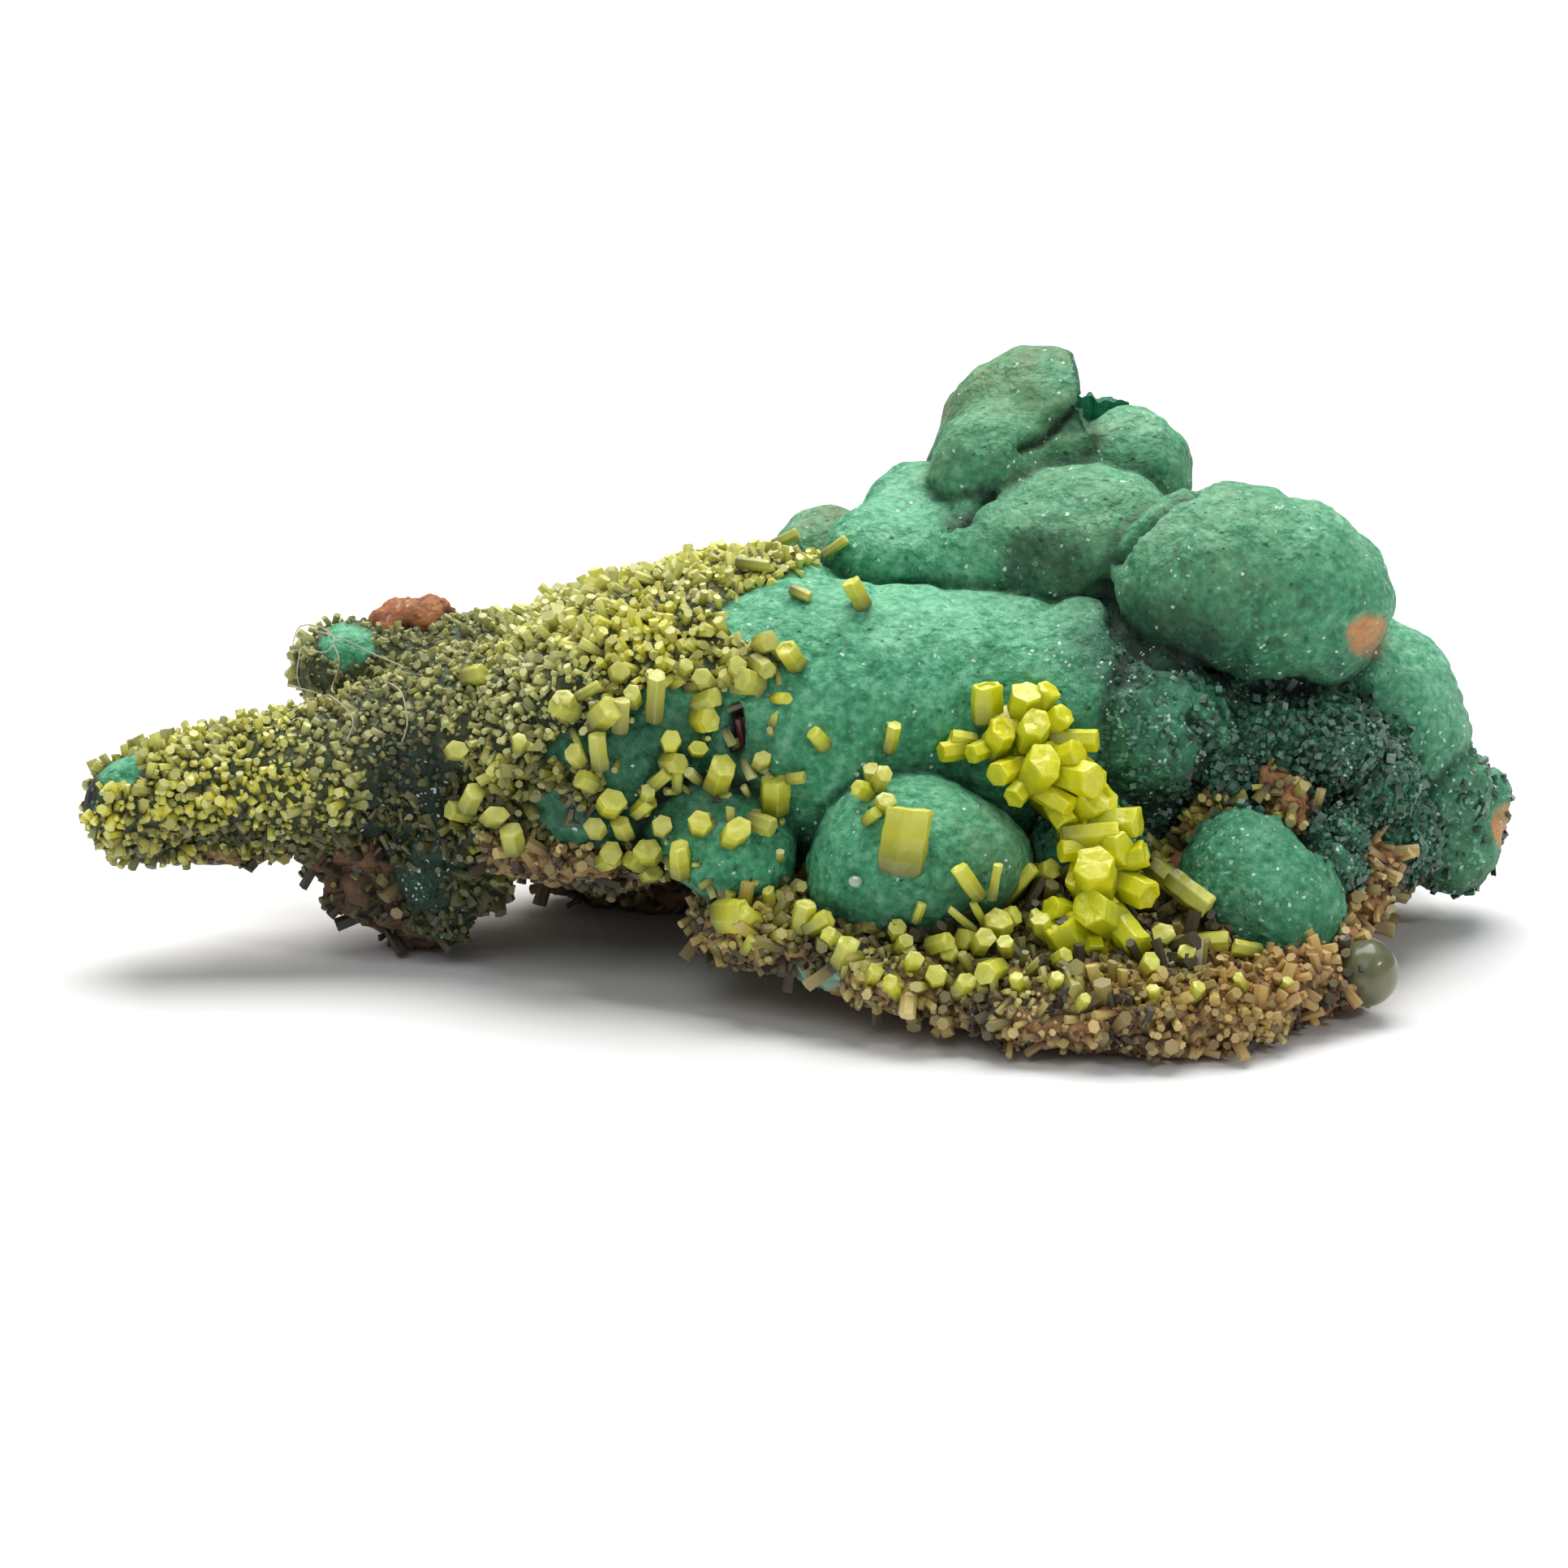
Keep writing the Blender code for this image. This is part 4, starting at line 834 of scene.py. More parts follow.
def largest_shell(points: Array, quads: Array) -> Surface:
    """The biggest connected part: each point takes the lowest label round it until nothing changes."""
    label = np.arange(len(points))
    while True:
        lowest = label.copy()
        np.minimum.at(lowest, quads.ravel(), np.repeat(label[quads].min(axis=1), 4))
        lowest = lowest[lowest]
        if np.array_equal(lowest, label):
            break
        label = lowest
    kept = label == np.bincount(label).argmax()
    renumbered = np.cumsum(kept) - 1
    return Surface(points[kept], [renumbered[quads[kept[quads[:, 0]]]]])


def meet(distances: Array, blend: float) -> Array:
    """The least of several distances, rounded off where the next is near.

    It loses a quarter of the blend, times the square of how far the next is within the blend.
    """
    first, second = np.partition(distances, 1, axis=0)[:2]
    overlap = np.clip(blend - (second - first), 0.0, None) / blend
    return first - overlap * overlap * blend / 4.0


@dataclass
class LumpField:
    """How far a place lies outside a body of overlapping ellipsoids, in millimetres."""

    lobes: dict[str, Lobe]
    blend: float = 0.4
    groups: Sequence[tuple[float, Sequence[str]]] = ()
    least_slope: float = 0.25
    longest_step: float = 0.3

    def distances(self, points: Array) -> Array:
        """One row for each lobe: the length of the scaled offset times that length less one, over its slope.

        Args:
            points: Places in millimetres, one a row.

        Returns:
            Distances, below none inside a lobe.
        """
        rows = []
        for lobe in self.lobes.values():
            offset = points - lobe[:3]
            local = offset @ turn_about_y(lobe.turn)
            scaled = local / lobe[3:6]
            length = np.linalg.norm(scaled, axis=1)
            slope = np.linalg.norm(scaled / lobe[3:6], axis=1)
            reach = length * (length - 1.0) / np.maximum(slope, 1e-6)
            if math.isfinite(lobe.broken_at):
                reach = np.maximum(reach, offset @ FRACTURE - lobe.broken_at)
            rows.append(reach.astype(np.float32))
        return np.array(rows)

    def grown_together(self, points: Array) -> Array:
        """One row for each group of lobes that merge softly, and for each lobe on its own."""
        distances = dict(zip(self.lobes, self.distances(points)))
        members = [(np.array([distances.pop(name) for name in names]), blend) for blend, names in self.groups]
        rows = [meet(own, blend) for own, blend in members]
        return np.array([*rows, *distances.values()])

    def skin(self, points: Array) -> Array:
        """The least distance, rounded off where two groups meet within the blend."""
        return meet(self.grown_together(points), self.blend)

    def slope(self, points: Array, step: float = 0.02) -> Array:
        """The skin's slope along each axis, from places a step to either side."""
        moves = np.eye(3) * step
        rises = [(self.skin(points + move) - self.skin(points - move)) / (2.0 * step) for move in moves]
        return np.stack(rises, axis=1)

    def settle(self, points: Array, rounds: int = 2) -> tuple[Array, Array]:
        """Moves places down the slope on to the skin itself.

        Args:
            points: Places near it.
            rounds: How often they are moved.

        Returns:
            The places, and the unit normals there.
        """
        for _ in range(rounds):
            slope = self.slope(points)
            step = self.skin(points) / np.maximum((slope * slope).sum(axis=1), self.least_slope)
            points = points - np.clip(step, -self.longest_step, self.longest_step)[:, None] * slope
        return points, unit(self.slope(points))

    def creases(self, points: Array, width: float) -> Array:
        """One in the seam between two groups, falling to none at that width from it."""
        first, second = np.partition(self.grown_together(points), 1, axis=0)[:2]
        return 1.0 - ramp(second - first, 0.0, width)

    def share(self, points: Array, table: dict[str, float], soft: float = 0.5) -> Array:
        """A value of each lobe, blended where lobes meet.

        Args:
            points: Places in millimetres.
            table: Values by the lobes' names, none for the rest.
            soft: How far the blend reaches, in millimetres.

        Returns:
            The values at the places.
        """
        distances = self.distances(points)
        weights = np.exp(-(distances - distances.min(axis=0)) / soft)
        values = np.array([table.get(name, 0.0) for name in self.lobes])
        return (weights * values[:, None]).sum(axis=0) / weights.sum(axis=0)


MALACHITE_FIELD = LumpField(MALACHITE_LOBES, 0.9, MALACHITE_GROUPS)
LIMONITE_FIELD = LumpField(LIMONITE_LOBES, blend=0.8)


class NodeSheet:
    """Adds nodes to one tree and joins them. A socket given as an input is linked, a plain value is set."""

    def __init__(self, tree: bpy.types.NodeTree) -> None:
        """Takes the tree to fill."""
        self.tree = tree

    def add(self, kind: str, inputs: dict | None = None, **settings) -> bpy.types.Node:
        """A new node.

        Args:
            kind: The node's type, without the leading ShaderNode.
            inputs: Values or sockets by the names or numbers of its own sockets.
            settings: The node's properties.

        Returns:
            The node.
        """
        node = self.tree.nodes.new(f"ShaderNode{kind}")
        for name, value in settings.items():
            setattr(node, name, value)
        for name, value in (inputs or {}).items():
            self.feed(node.inputs[name], value)
        return node

    def feed(self, socket: bpy.types.NodeSocket, value) -> None:
        """Links a socket into another, or sets a plain value on it."""
        if isinstance(value, bpy.types.NodeSocket):
            self.tree.links.new(value, socket)
        else:
            socket.default_value = value

    def math(self, operation: str, *values, clamp: bool = False) -> bpy.types.NodeSocket:
        """One step of arithmetic."""
        node = self.add("Math", dict(enumerate(values)), operation=operation, use_clamp=clamp)
        return node.outputs[0]

    def blend(self, amount, first, second) -> bpy.types.NodeSocket:
        """The first colour turning into the second."""
        node = self.add("Mix", {0: amount, 6: first, 7: second}, data_type="RGBA", clamp_factor=True)
        return node.outputs[2]

    def value(self, name: str) -> bpy.types.NodeSocket:
        """The piece's own value of that name."""
        return self.add("Attribute", attribute_name=name).outputs["Fac"]

    def group(self, tree: bpy.types.NodeTree, output: str | int = 0, **inputs) -> bpy.types.NodeSocket:
        """One output of a node group, its inputs given by name."""
        node = self.add("Group", node_tree=tree)
        for name, value in inputs.items():
            self.feed(node.inputs[name.replace("_", " ").capitalize()], value)
        return node.outputs[output]


def new_group(
    name: str, inputs: dict[str, float], outputs: Sequence[str]
) -> tuple[NodeSheet, dict, bpy.types.Node]:
    """An empty node group of number sockets.

    Args:
        name: What it is called.
        inputs: Its inputs with their usual values.
        outputs: The names of its outputs.

    Returns:
        The sheet, the input sockets by name, and the output node.
    """
    sheet = NodeSheet(bpy.data.node_groups.new(name, "ShaderNodeTree"))
    for label, usual in inputs.items():
        socket = sheet.tree.interface.new_socket(label, in_out="INPUT", socket_type="NodeSocketFloat")
        socket.default_value = usual
    for label in outputs:
        sheet.tree.interface.new_socket(label, in_out="OUTPUT", socket_type="NodeSocketFloat")
    source = sheet.tree.nodes.new("NodeGroupInput")
    target = sheet.tree.nodes.new("NodeGroupOutput")
    return sheet, {label: source.outputs[label] for label in inputs}, target


def in_millimetres(sheet: NodeSheet, size, offset=(0.0, 0.0, 0.0)) -> bpy.types.NodeSocket:
    """Object coordinates counted in steps of a size in millimetres."""
    place = sheet.add("TexCoord").outputs["Object"]
    count = sheet.math("DIVIDE", 1.0 / MM, size)
    scaled = sheet.add("VectorMath", {0: place, "Scale": count}, operation="SCALE").outputs[0]
    return sheet.add("VectorMath", {0: scaled, 1: offset}, operation="ADD").outputs[0]


def mottle_group() -> bpy.types.NodeTree:
    """Patches: a fractal noise round one half, stretched by a contrast."""
    sheet, given, target = new_group(
        "mottle", {"Size": 1.0, "Detail": 3.0, "Contrast": 1.5, "Offset": 0.0}, ["Value"]
    )
    place = in_millimetres(sheet, given["Size"], given["Offset"])
    noise = sheet.add("TexNoise", {"Vector": place, "Scale": 1.0, "Detail": given["Detail"]}).outputs["Fac"]
    centred = sheet.math("SUBTRACT", noise, 0.5)
    value = sheet.math("MULTIPLY_ADD", centred, given["Contrast"], 0.5, clamp=True)
    sheet.feed(target.inputs["Value"], value)
    return sheet.tree


def grain_group() -> bpy.types.NodeTree:
    """A fine rough skin: noise times a depth in millimetres, as a height for a bump."""
    sheet, given, target = new_group("grain", {"Size": 0.3, "Depth": 0.03, "Detail": 3.0}, ["Height"])
    place = in_millimetres(sheet, given["Size"])
    noise = sheet.add("TexNoise", {"Vector": place, "Scale": 1.0, "Detail": given["Detail"]}).outputs["Fac"]
    sheet.feed(target.inputs["Height"], sheet.math("MULTIPLY", noise, given["Depth"]))
    return sheet.tree


def glitter_group() -> bpy.types.NodeTree:
    """Tiny crystal faces: a share of strewn cells is flat and tilted at random.

    The height in a cell is the place times the cell's own random direction, so that its slope is even.
    """
    sheet, given, target = new_group(
        "glitter", {"Size": 0.2, "Share": 0.1, "Tilt": 0.5, "Depth": 0.1}, ["Glint", "Height"]
    )
    place = in_millimetres(sheet, given["Size"])
    cell = sheet.add("TexVoronoi", {"Vector": place, "Scale": 1.0}).outputs["Color"]
    parts = sheet.add("SeparateColor", {"Color": cell}).outputs
    glint = sheet.math("LESS_THAN", parts[0], given["Share"])
    way = sheet.add("VectorMath", {0: cell, 1: (0.5, 0.5, 0.5)}, operation="SUBTRACT").outputs[0]
    whole = in_millimetres(sheet, 1.0)
    along = sheet.add("VectorMath", {0: whole, 1: way}, operation="DOT_PRODUCT").outputs["Value"]
    slope = sheet.math("MULTIPLY", along, sheet.math("MULTIPLY", glint, given["Tilt"]))
    lift = sheet.math("MULTIPLY", parts[1], given["Depth"])
    sheet.feed(target.inputs["Glint"], glint)
    sheet.feed(target.inputs["Height"], sheet.math("ADD", slope, lift))
    return sheet.tree


def pores_group() -> bpy.types.NodeTree:
    """Small round pits: in a share of strewn cells, one near the cell's own middle and none past a width."""
    sheet, given, target = new_group("pores", {"Size": 0.5, "Share": 0.5, "Width": 0.2}, ["Pit"])
    cell = sheet.add("TexVoronoi", {"Vector": in_millimetres(sheet, given["Size"]), "Scale": 1.0})
    own = sheet.add("SeparateColor", {"Color": cell.outputs["Color"]}).outputs
    width = sheet.math("MULTIPLY", given["Width"], sheet.math("ADD", own[1], 0.4))
    depth = sheet.math("SUBTRACT", 1.0, sheet.math("DIVIDE", cell.outputs["Distance"], width), clamp=True)
    chosen = sheet.math("LESS_THAN", own[0], given["Share"])
    sheet.feed(target.inputs["Pit"], sheet.math("MULTIPLY", depth, chosen))
    return sheet.tree


class Effects:
    """The node groups that several finishes share, each built once."""

    def __init__(self) -> None:
        """Builds them."""
        self.mottle = mottle_group()
        self.grain = grain_group()
        self.glitter = glitter_group()
        self.pores = pores_group()


EFFECTS = Effects()


def new_material(name: str, **sockets: float) -> tuple[bpy.types.Material, NodeSheet, bpy.types.Node]:
    """A Principled material with plain values on its own sockets.

    Args:
        name: What it is called.
        sockets: Values by socket, with _ for a space.

    Returns:
        The material, its sheet and its shader.
    """
    material = bpy.data.materials.new(name)
    material.use_nodes = True
    shader = material.node_tree.nodes["Principled BSDF"]
    for label, value in sockets.items():
        shader.inputs[label.replace("_", " ")].default_value = value
    return material, NodeSheet(material.node_tree), shader


def specks(sheet: NodeSheet, size, share, tilt: float, depth: float) -> bpy.types.Node:
    """The glitter group as a node, for a finish that uses both of its outputs."""
    inputs = {"Size": size, "Share": share, "Tilt": tilt, "Depth": depth}
    return sheet.add("Group", inputs, node_tree=EFFECTS.glitter)


def rough_skin(sheet: NodeSheet, shader: bpy.types.Node, *heights: bpy.types.NodeSocket) -> None:
    """Feeds the sum of heights in millimetres through a bump to the shader."""
    total = heights[0]
    for height in heights[1:]:
        total = sheet.math("ADD", total, height)
    bump = sheet.add("Bump", {"Strength": 1.0, "Distance": MM, "Height": total})
    sheet.feed(shader.inputs["Normal"], bump.outputs["Normal"])


@dataclass(frozen=True)
class MalachiteFinish:
    """Velvety green malachite, with film, dark glittering knobs, the bed under the druse, painted shade,
    painted top light and painted glints.
    """

    deep: tuple = tone(12, 82, 56)
    body: tuple = tone(68, 160, 116)
    mint: tuple = tone(136, 208, 168)
    pore: tuple = tone(16, 58, 46)
    film: tuple = tone(114, 138, 88)
    brown: tuple = tone(130, 118, 88)
    dark: tuple = tone(14, 42, 33)
    dark_light: tuple = tone(58, 108, 84)
    # The colour of painted sparkles.
    spark: tuple = tone(226, 246, 236)
    bed: tuple = tone(46, 50, 26)
    scar: tuple = tone(218, 154, 98)
    fresh: tuple = tone(0, 110, 74)
    # The colour of the arm tip's stain and of painted shade in pits, the hollow and the crown's cleft.
    pit: tuple = tone(30, 12, 14)
    # The colour of painted shade.
    shade: tuple = tone(8, 34, 24)
    sheen: tuple = tone(170, 225, 195)
    roughness: float = 0.66
    broad: float = 0.45
    middling: float = 0.3
    fine: float = 0.5
    darkening: float = 0.15
    crease_painted_shade: float = 0.3
    painted_top_light_strength: float = 0.22
    browning: float = 0.6
    knob_dark: float = 0.85
    bed_film: float = 0.4
    scar_brown: float = 0.3
    pore_painted_shade: float = 0.7
    pore_depth: float = 0.12
    patch_glitter: float = 0.05
    least_glitter: float = 0.004
    knob_glitter: float = 0.25
    painted_glint_strength: float = 0.5
    painted_sparkle_share: float = 0.12
    painted_sparkle_strength: float = 0.8

    def material(self) -> bpy.types.Material:
        """The finish as a material that reads the mass's own values."""
        material, sheet, shader = new_material(
            "velvet malachite", Sheen_Weight=0.08, Sheen_Roughness=0.5, IOR=STONE_IOR
        )
        shader.inputs["Sheen Tint"].default_value = self.sheen
        mottle, glitter, grain = EFFECTS.mottle, EFFECTS.glitter, EFFECTS.grain
        broad = sheet.group(mottle, size=6.0, contrast=1.9)
        middling = sheet.group(mottle, size=1.3, contrast=1.7, detail=4.0)
        fine = sheet.group(mottle, size=0.36, contrast=2.8, detail=5.0)
        height = sheet.math("MULTIPLY", middling, self.middling)
        height = sheet.math("MULTIPLY_ADD", broad, self.broad, height)
        light = sheet.math("MULTIPLY_ADD", fine, self.fine, sheet.math("SUBTRACT", height, self.darkening))
        # Painted shade darkens the tone in the creases.
        light = sheet.math("MULTIPLY_ADD", sheet.value("crease"), -self.crease_painted_shade, light)
        # Painted top light lightens faces that turn upwards, and the paler lobes are lighter in their own
        # colour.
        light = sheet.math("MULTIPLY_ADD", sheet.value("painted_top_light_and_pale"), self.painted_top_light_strength, light)
        low = sheet.math("MULTIPLY", light, 2.0, clamp=True)
        high = sheet.math("MULTIPLY_ADD", light, 2.0, -1.0, clamp=True)
        colour = sheet.blend(high, sheet.blend(low, self.deep, self.body), self.mint)
        uneven = sheet.math("MULTIPLY_ADD", middling, 0.9, 0.15)
        film = sheet.math("MULTIPLY", sheet.value("film"), uneven)
        brown = sheet.group(mottle, size=2.4, contrast=3.0, offset=4.7)
        filmed = sheet.blend(sheet.math("MULTIPLY", brown, self.browning), self.film, self.brown)
        colour = sheet.blend(film, colour, filmed)
        uneven = sheet.group(mottle, size=0.5, contrast=2.6, detail=4.0)
        dark = sheet.blend(uneven, self.dark, self.dark_light)
        colour = sheet.blend(sheet.math("MULTIPLY", sheet.value("rough"), self.knob_dark), colour, dark)
        bed = sheet.blend(sheet.math("MULTIPLY", fine, self.bed_film), self.bed, self.film)
        colour = sheet.blend(sheet.value("bed"), colour, bed)
        colour = sheet.blend(sheet.value("fresh"), colour, self.fresh)
        scar = sheet.blend(sheet.math("MULTIPLY", fine, self.scar_brown), self.scar, self.brown)
        colour = sheet.blend(sheet.value("scar"), colour, scar)
        # The arm tip's own stain, and painted shade in the pits, the hollow and the crown's cleft.
        colour = sheet.blend(sheet.value("pit"), colour, self.pit)
        pore = sheet.group(EFFECTS.pores, size=0.55, share=0.5, width=0.2)
        # Painted shade in the pores.
        colour = sheet.blend(sheet.math("MULTIPLY", pore, self.pore_painted_shade), colour, self.pore)
        sparkly = sheet.group(mottle, size=2.6, contrast=5.0, offset=9.3)
        patchy = sheet.math("MULTIPLY_ADD", sparkly, self.patch_glitter, self.least_glitter)
        glitter_share = sheet.math("MULTIPLY_ADD", sheet.value("rough"), self.knob_glitter, patchy)
        speck = specks(sheet, size=0.15, share=glitter_share, tilt=1.3, depth=0.03)
        # Painted glints: the glittering cells are lightened towards mint.
        glint = sheet.math("MULTIPLY", speck.outputs["Glint"], self.painted_glint_strength)
        colour = sheet.blend(glint, colour, self.mint)
        # Painted shade from the mass's shade value.
        colour = sheet.blend(sheet.value("shade"), colour, self.shade)
        # Painted sparkles: a few cells turn near white.
        spark = sheet.group(glitter, size=0.12, share=sheet.math("MULTIPLY", glitter_share, self.painted_sparkle_share))
        colour = sheet.blend(sheet.math("MULTIPLY", spark, self.painted_sparkle_strength), colour, self.spark)
        sheet.feed(shader.inputs["Base Color"], colour)
        gloss = sheet.math("MULTIPLY_ADD", speck.outputs["Glint"], -GLINT_GLOSS, self.roughness)
        sheet.feed(shader.inputs["Roughness"], gloss)
        velvet = sheet.group(grain, size=0.22, depth=0.08)
        dents = sheet.group(grain, size=0.9, depth=0.5, detail=5.0)
        pits = sheet.math("MULTIPLY", pore, -self.pore_depth)
        rough_skin(sheet, shader, velvet, dents, pits, speck.outputs["Height"])
        return material


@dataclass(frozen=True)
class LimoniteFinish:
    """Crumbly limonite: painted shade in the dips between crumbs, tan grains and rust."""

    # The colour of painted shade in the dips.
    pit: tuple = tone(28, 18, 10)
    tan: tuple = tone(132, 106, 64)
    pale: tuple = tone(184, 158, 108)
    rust: tuple = tone(146, 82, 52)
    orange: tuple = tone(196, 130, 84)
    dark: tuple = tone(58, 38, 40)
    teal: tuple = tone(136, 176, 152)
    roughness: float = 0.8
    rust_threshold: float = 0.3
    rust_patches: float = 0.6

    def material(self) -> bpy.types.Material:
        """The finish as a material that reads the rock's own values."""
        material, sheet, shader = new_material("crumbly limonite", IOR=STONE_IOR)
        mottle, grain = EFFECTS.mottle, EFFECTS.grain
        grains = sheet.group(mottle, size=0.5, contrast=2.4, detail=4.0)
        patches = sheet.group(mottle, size=2.2, contrast=3.0, offset=3.1)
        colour = sheet.blend(grains, self.tan, self.pale)
        own = sheet.math("SUBTRACT", sheet.value("rust"), self.rust_threshold)
        rust = sheet.math("MULTIPLY_ADD", patches, self.rust_patches, own, clamp=True)
        colour = sheet.blend(rust, colour, sheet.blend(grains, self.rust, self.orange))
        colour = sheet.blend(sheet.value("teal"), colour, self.teal)
        # The tip's own dark colour, and painted shade on the keel, the foot and the base under the mass.
        colour = sheet.blend(sheet.value("dark"), colour, self.dark)
        # Painted shade where the crumbs dip.
        colour = sheet.blend(sheet.value("hollow"), colour, self.pit)
        sheet.feed(shader.inputs["Base Color"], colour)
        speck = specks(sheet, size=0.2, share=0.12, tilt=1.2, depth=0.06)
        gloss = sheet.math("MULTIPLY_ADD", speck.outputs["Glint"], -GLINT_GLOSS, self.roughness)
        sheet.feed(shader.inputs["Roughness"], gloss)
        rough_skin(sheet, shader, sheet.group(grain, size=0.3, depth=0.16), speck.outputs["Height"])
        return material


@dataclass(frozen=True)
class CrystalFinish:
    """Resinous pyromorphite: a body colour that clears towards the tip, with dust, slight growth marks and
    painted shade.
    """

    name: str
    # The colour of painted shade at the root and on shaded crystals.
    root: tuple
    dull: tuple
    bright: tuple
    tip: tuple
    dust: tuple = tone(150, 150, 112)
    roughness: float = 0.34
    inner_light: float = 0.25
    growth: float = 0.02
    root_shade_end: float = 1.6
    tip_rise: float = 1.8
    tip_start: float = 1.15
    dust_spread: float = 0.7
    dust_floor: float = 0.4
    dust_dulling: float = 0.35
    fine_dulling: float = 0.14

    def material(self) -> bpy.types.Material:
        """The finish as a material that reads each crystal's own tint, dust and place along its axis."""
        material, sheet, shader = new_material(
            self.name, IOR=CRYSTAL_IOR, Subsurface_Weight=self.inner_light, Subsurface_Scale=LIGHT_REACH * MM
        )
        shader.inputs["Subsurface Radius"].default_value = (1.0, 1.0, 0.25)
        fine = sheet.group(EFFECTS.mottle, size=0.35, contrast=1.6)
        along = sheet.value("along")
        body = sheet.blend(sheet.value("tint"), self.dull, self.bright)
        # Painted shade at the root, among the neighbouring crystals.
        colour = sheet.blend(sheet.math("MULTIPLY", along, self.root_shade_end, clamp=True), self.root, body)
        clear = sheet.math("MULTIPLY_ADD", along, self.tip_rise, -self.tip_start, clamp=True)
        colour = sheet.blend(sheet.math("MULTIPLY", clear, fine), colour, self.tip)
        uneven = sheet.math("MULTIPLY_ADD", fine, self.dust_spread, self.dust_floor)
        dusty = sheet.math("MULTIPLY", sheet.value("dust"), uneven)
        colour = sheet.blend(dusty, colour, self.dust)
        # Painted shade from each crystal's shade value.
        colour = sheet.blend(sheet.value("shade"), colour, self.root)
        sheet.feed(shader.inputs["Base Color"], colour)
        speck = specks(sheet, size=0.5, share=0.3, tilt=0.12, depth=0.01)
        dull = sheet.math("MULTIPLY_ADD", sheet.value("dust"), self.dust_dulling, self.roughness)
        sheet.feed(shader.inputs["Roughness"], sheet.math("MULTIPLY_ADD", fine, self.fine_dulling, dull))
        marks = sheet.group(EFFECTS.grain, size=0.28, depth=self.growth)
        rough_skin(sheet, shader, marks, speck.outputs["Height"])
        return material


@dataclass(frozen=True)
class PlainFinish:
    """Two tones in patches, with a fine grain: for the bead, plate, shard, bubble, lint and floor."""

    name: str
    first: tuple
    second: tuple
    roughness: float
    patch: float = 0.8
    grain: float = 0.02
    coat: float = 0.0

    def material(self) -> bpy.types.Material:
        """The finish as a material."""
        material, sheet, shader = new_material(self.name, Roughness=self.roughness, Coat_Weight=self.coat)
        shader.inputs["Coat Roughness"].default_value = 0.15
        patches = sheet.group(EFFECTS.mottle, size=self.patch, contrast=2.0)
        sheet.feed(shader.inputs["Base Color"], sheet.blend(patches, self.first, self.second))
        rough_skin(sheet, shader, sheet.group(EFFECTS.grain, size=self.patch * 0.4, depth=self.grain))
        return material


SPRAY_FINISH = CrystalFinish(
    "lime crystal",
    root=tone(116, 122, 2),
    dull=tone(196, 202, 4),
    bright=tone(226, 222, 6),
    tip=tone(236, 232, 30),
)
SINGLE_FINISH = CrystalFinish(
    "moss crystal",
    root=tone(92, 98, 16),
    dull=tone(172, 174, 66),
    bright=tone(208, 208, 42),
    tip=tone(238, 238, 126),
)
DRUSE_FINISH = CrystalFinish(
    "druse crystal",
    root=tone(40, 42, 12),
    dull=tone(200, 204, 124),
    bright=tone(226, 220, 50),
    tip=tone(250, 249, 190),
    roughness=0.42,
    inner_light=0.12,
)
RIM_FINISH = CrystalFinish(
    "rim crystal",
    root=tone(30, 22, 8),
    dull=tone(208, 182, 108),
    bright=tone(176, 178, 46),
    tip=tone(250, 236, 176),
    dust=tone(196, 120, 56),
    roughness=0.45,
    inner_light=0.1,
)
KNOB_FINISH = CrystalFinish(
    "dark malachite crystal",
    root=tone(12, 34, 28),
    dull=tone(22, 66, 50),
    bright=tone(52, 126, 92),
    tip=tone(130, 184, 156),
    dust=tone(54, 104, 80),
    roughness=0.3,
    inner_light=0.0,
)
BEAD_FINISH = PlainFinish(
    "olive bead", tone(118, 118, 82), tone(84, 90, 62), 0.4, patch=1.4, grain=0.015, coat=0.5
)
LINT_FINISH = PlainFinish("pale lint", tone(206, 204, 182), tone(184, 182, 150), 0.8)
SHARD_FINISH = PlainFinish("purple shard", tone(96, 36, 44), tone(52, 20, 26), 0.35, patch=0.4, coat=0.3)
BUBBLE_FINISH = PlainFinish(
    "milky bubble", tone(196, 214, 204), tone(150, 180, 166), 0.15, patch=0.5, coat=0.8
)
PLATE_FINISH = PlainFinish(
    "fresh malachite", tone(0, 96, 64), tone(10, 132, 92), 0.45, patch=0.35, grain=0.06
)
FLOOR_FINISH = PlainFinish("pale paper", tone(250, 250, 251), tone(246, 247, 249), 0.9, patch=60.0, grain=0.0)


class Profile(Enum):
    """Crystal shapes: rings from root to tip, each a height along the axis and a share of the radius."""

    DRUSE = ((-0.5, 0.9), (0.5, 1.0))
    SOLID = (
        (-0.5, 0.88), (-0.44, 0.99), (-0.27, 1.02), (-0.1, 0.98), (0.1, 1.02), (0.28, 0.99),
        (0.44, 1.0), (0.49, 0.95), (0.51, 0.62), (0.505, 0.2),
    )
    HOPPER = (
        (-0.5, 0.88), (-0.44, 0.99), (-0.27, 1.02), (-0.1, 0.98), (0.1, 1.02), (0.28, 0.99),
        (0.45, 1.0), (0.5, 0.94), (0.5, 0.68), (0.44, 0.56), (0.42, 0.2),
    )


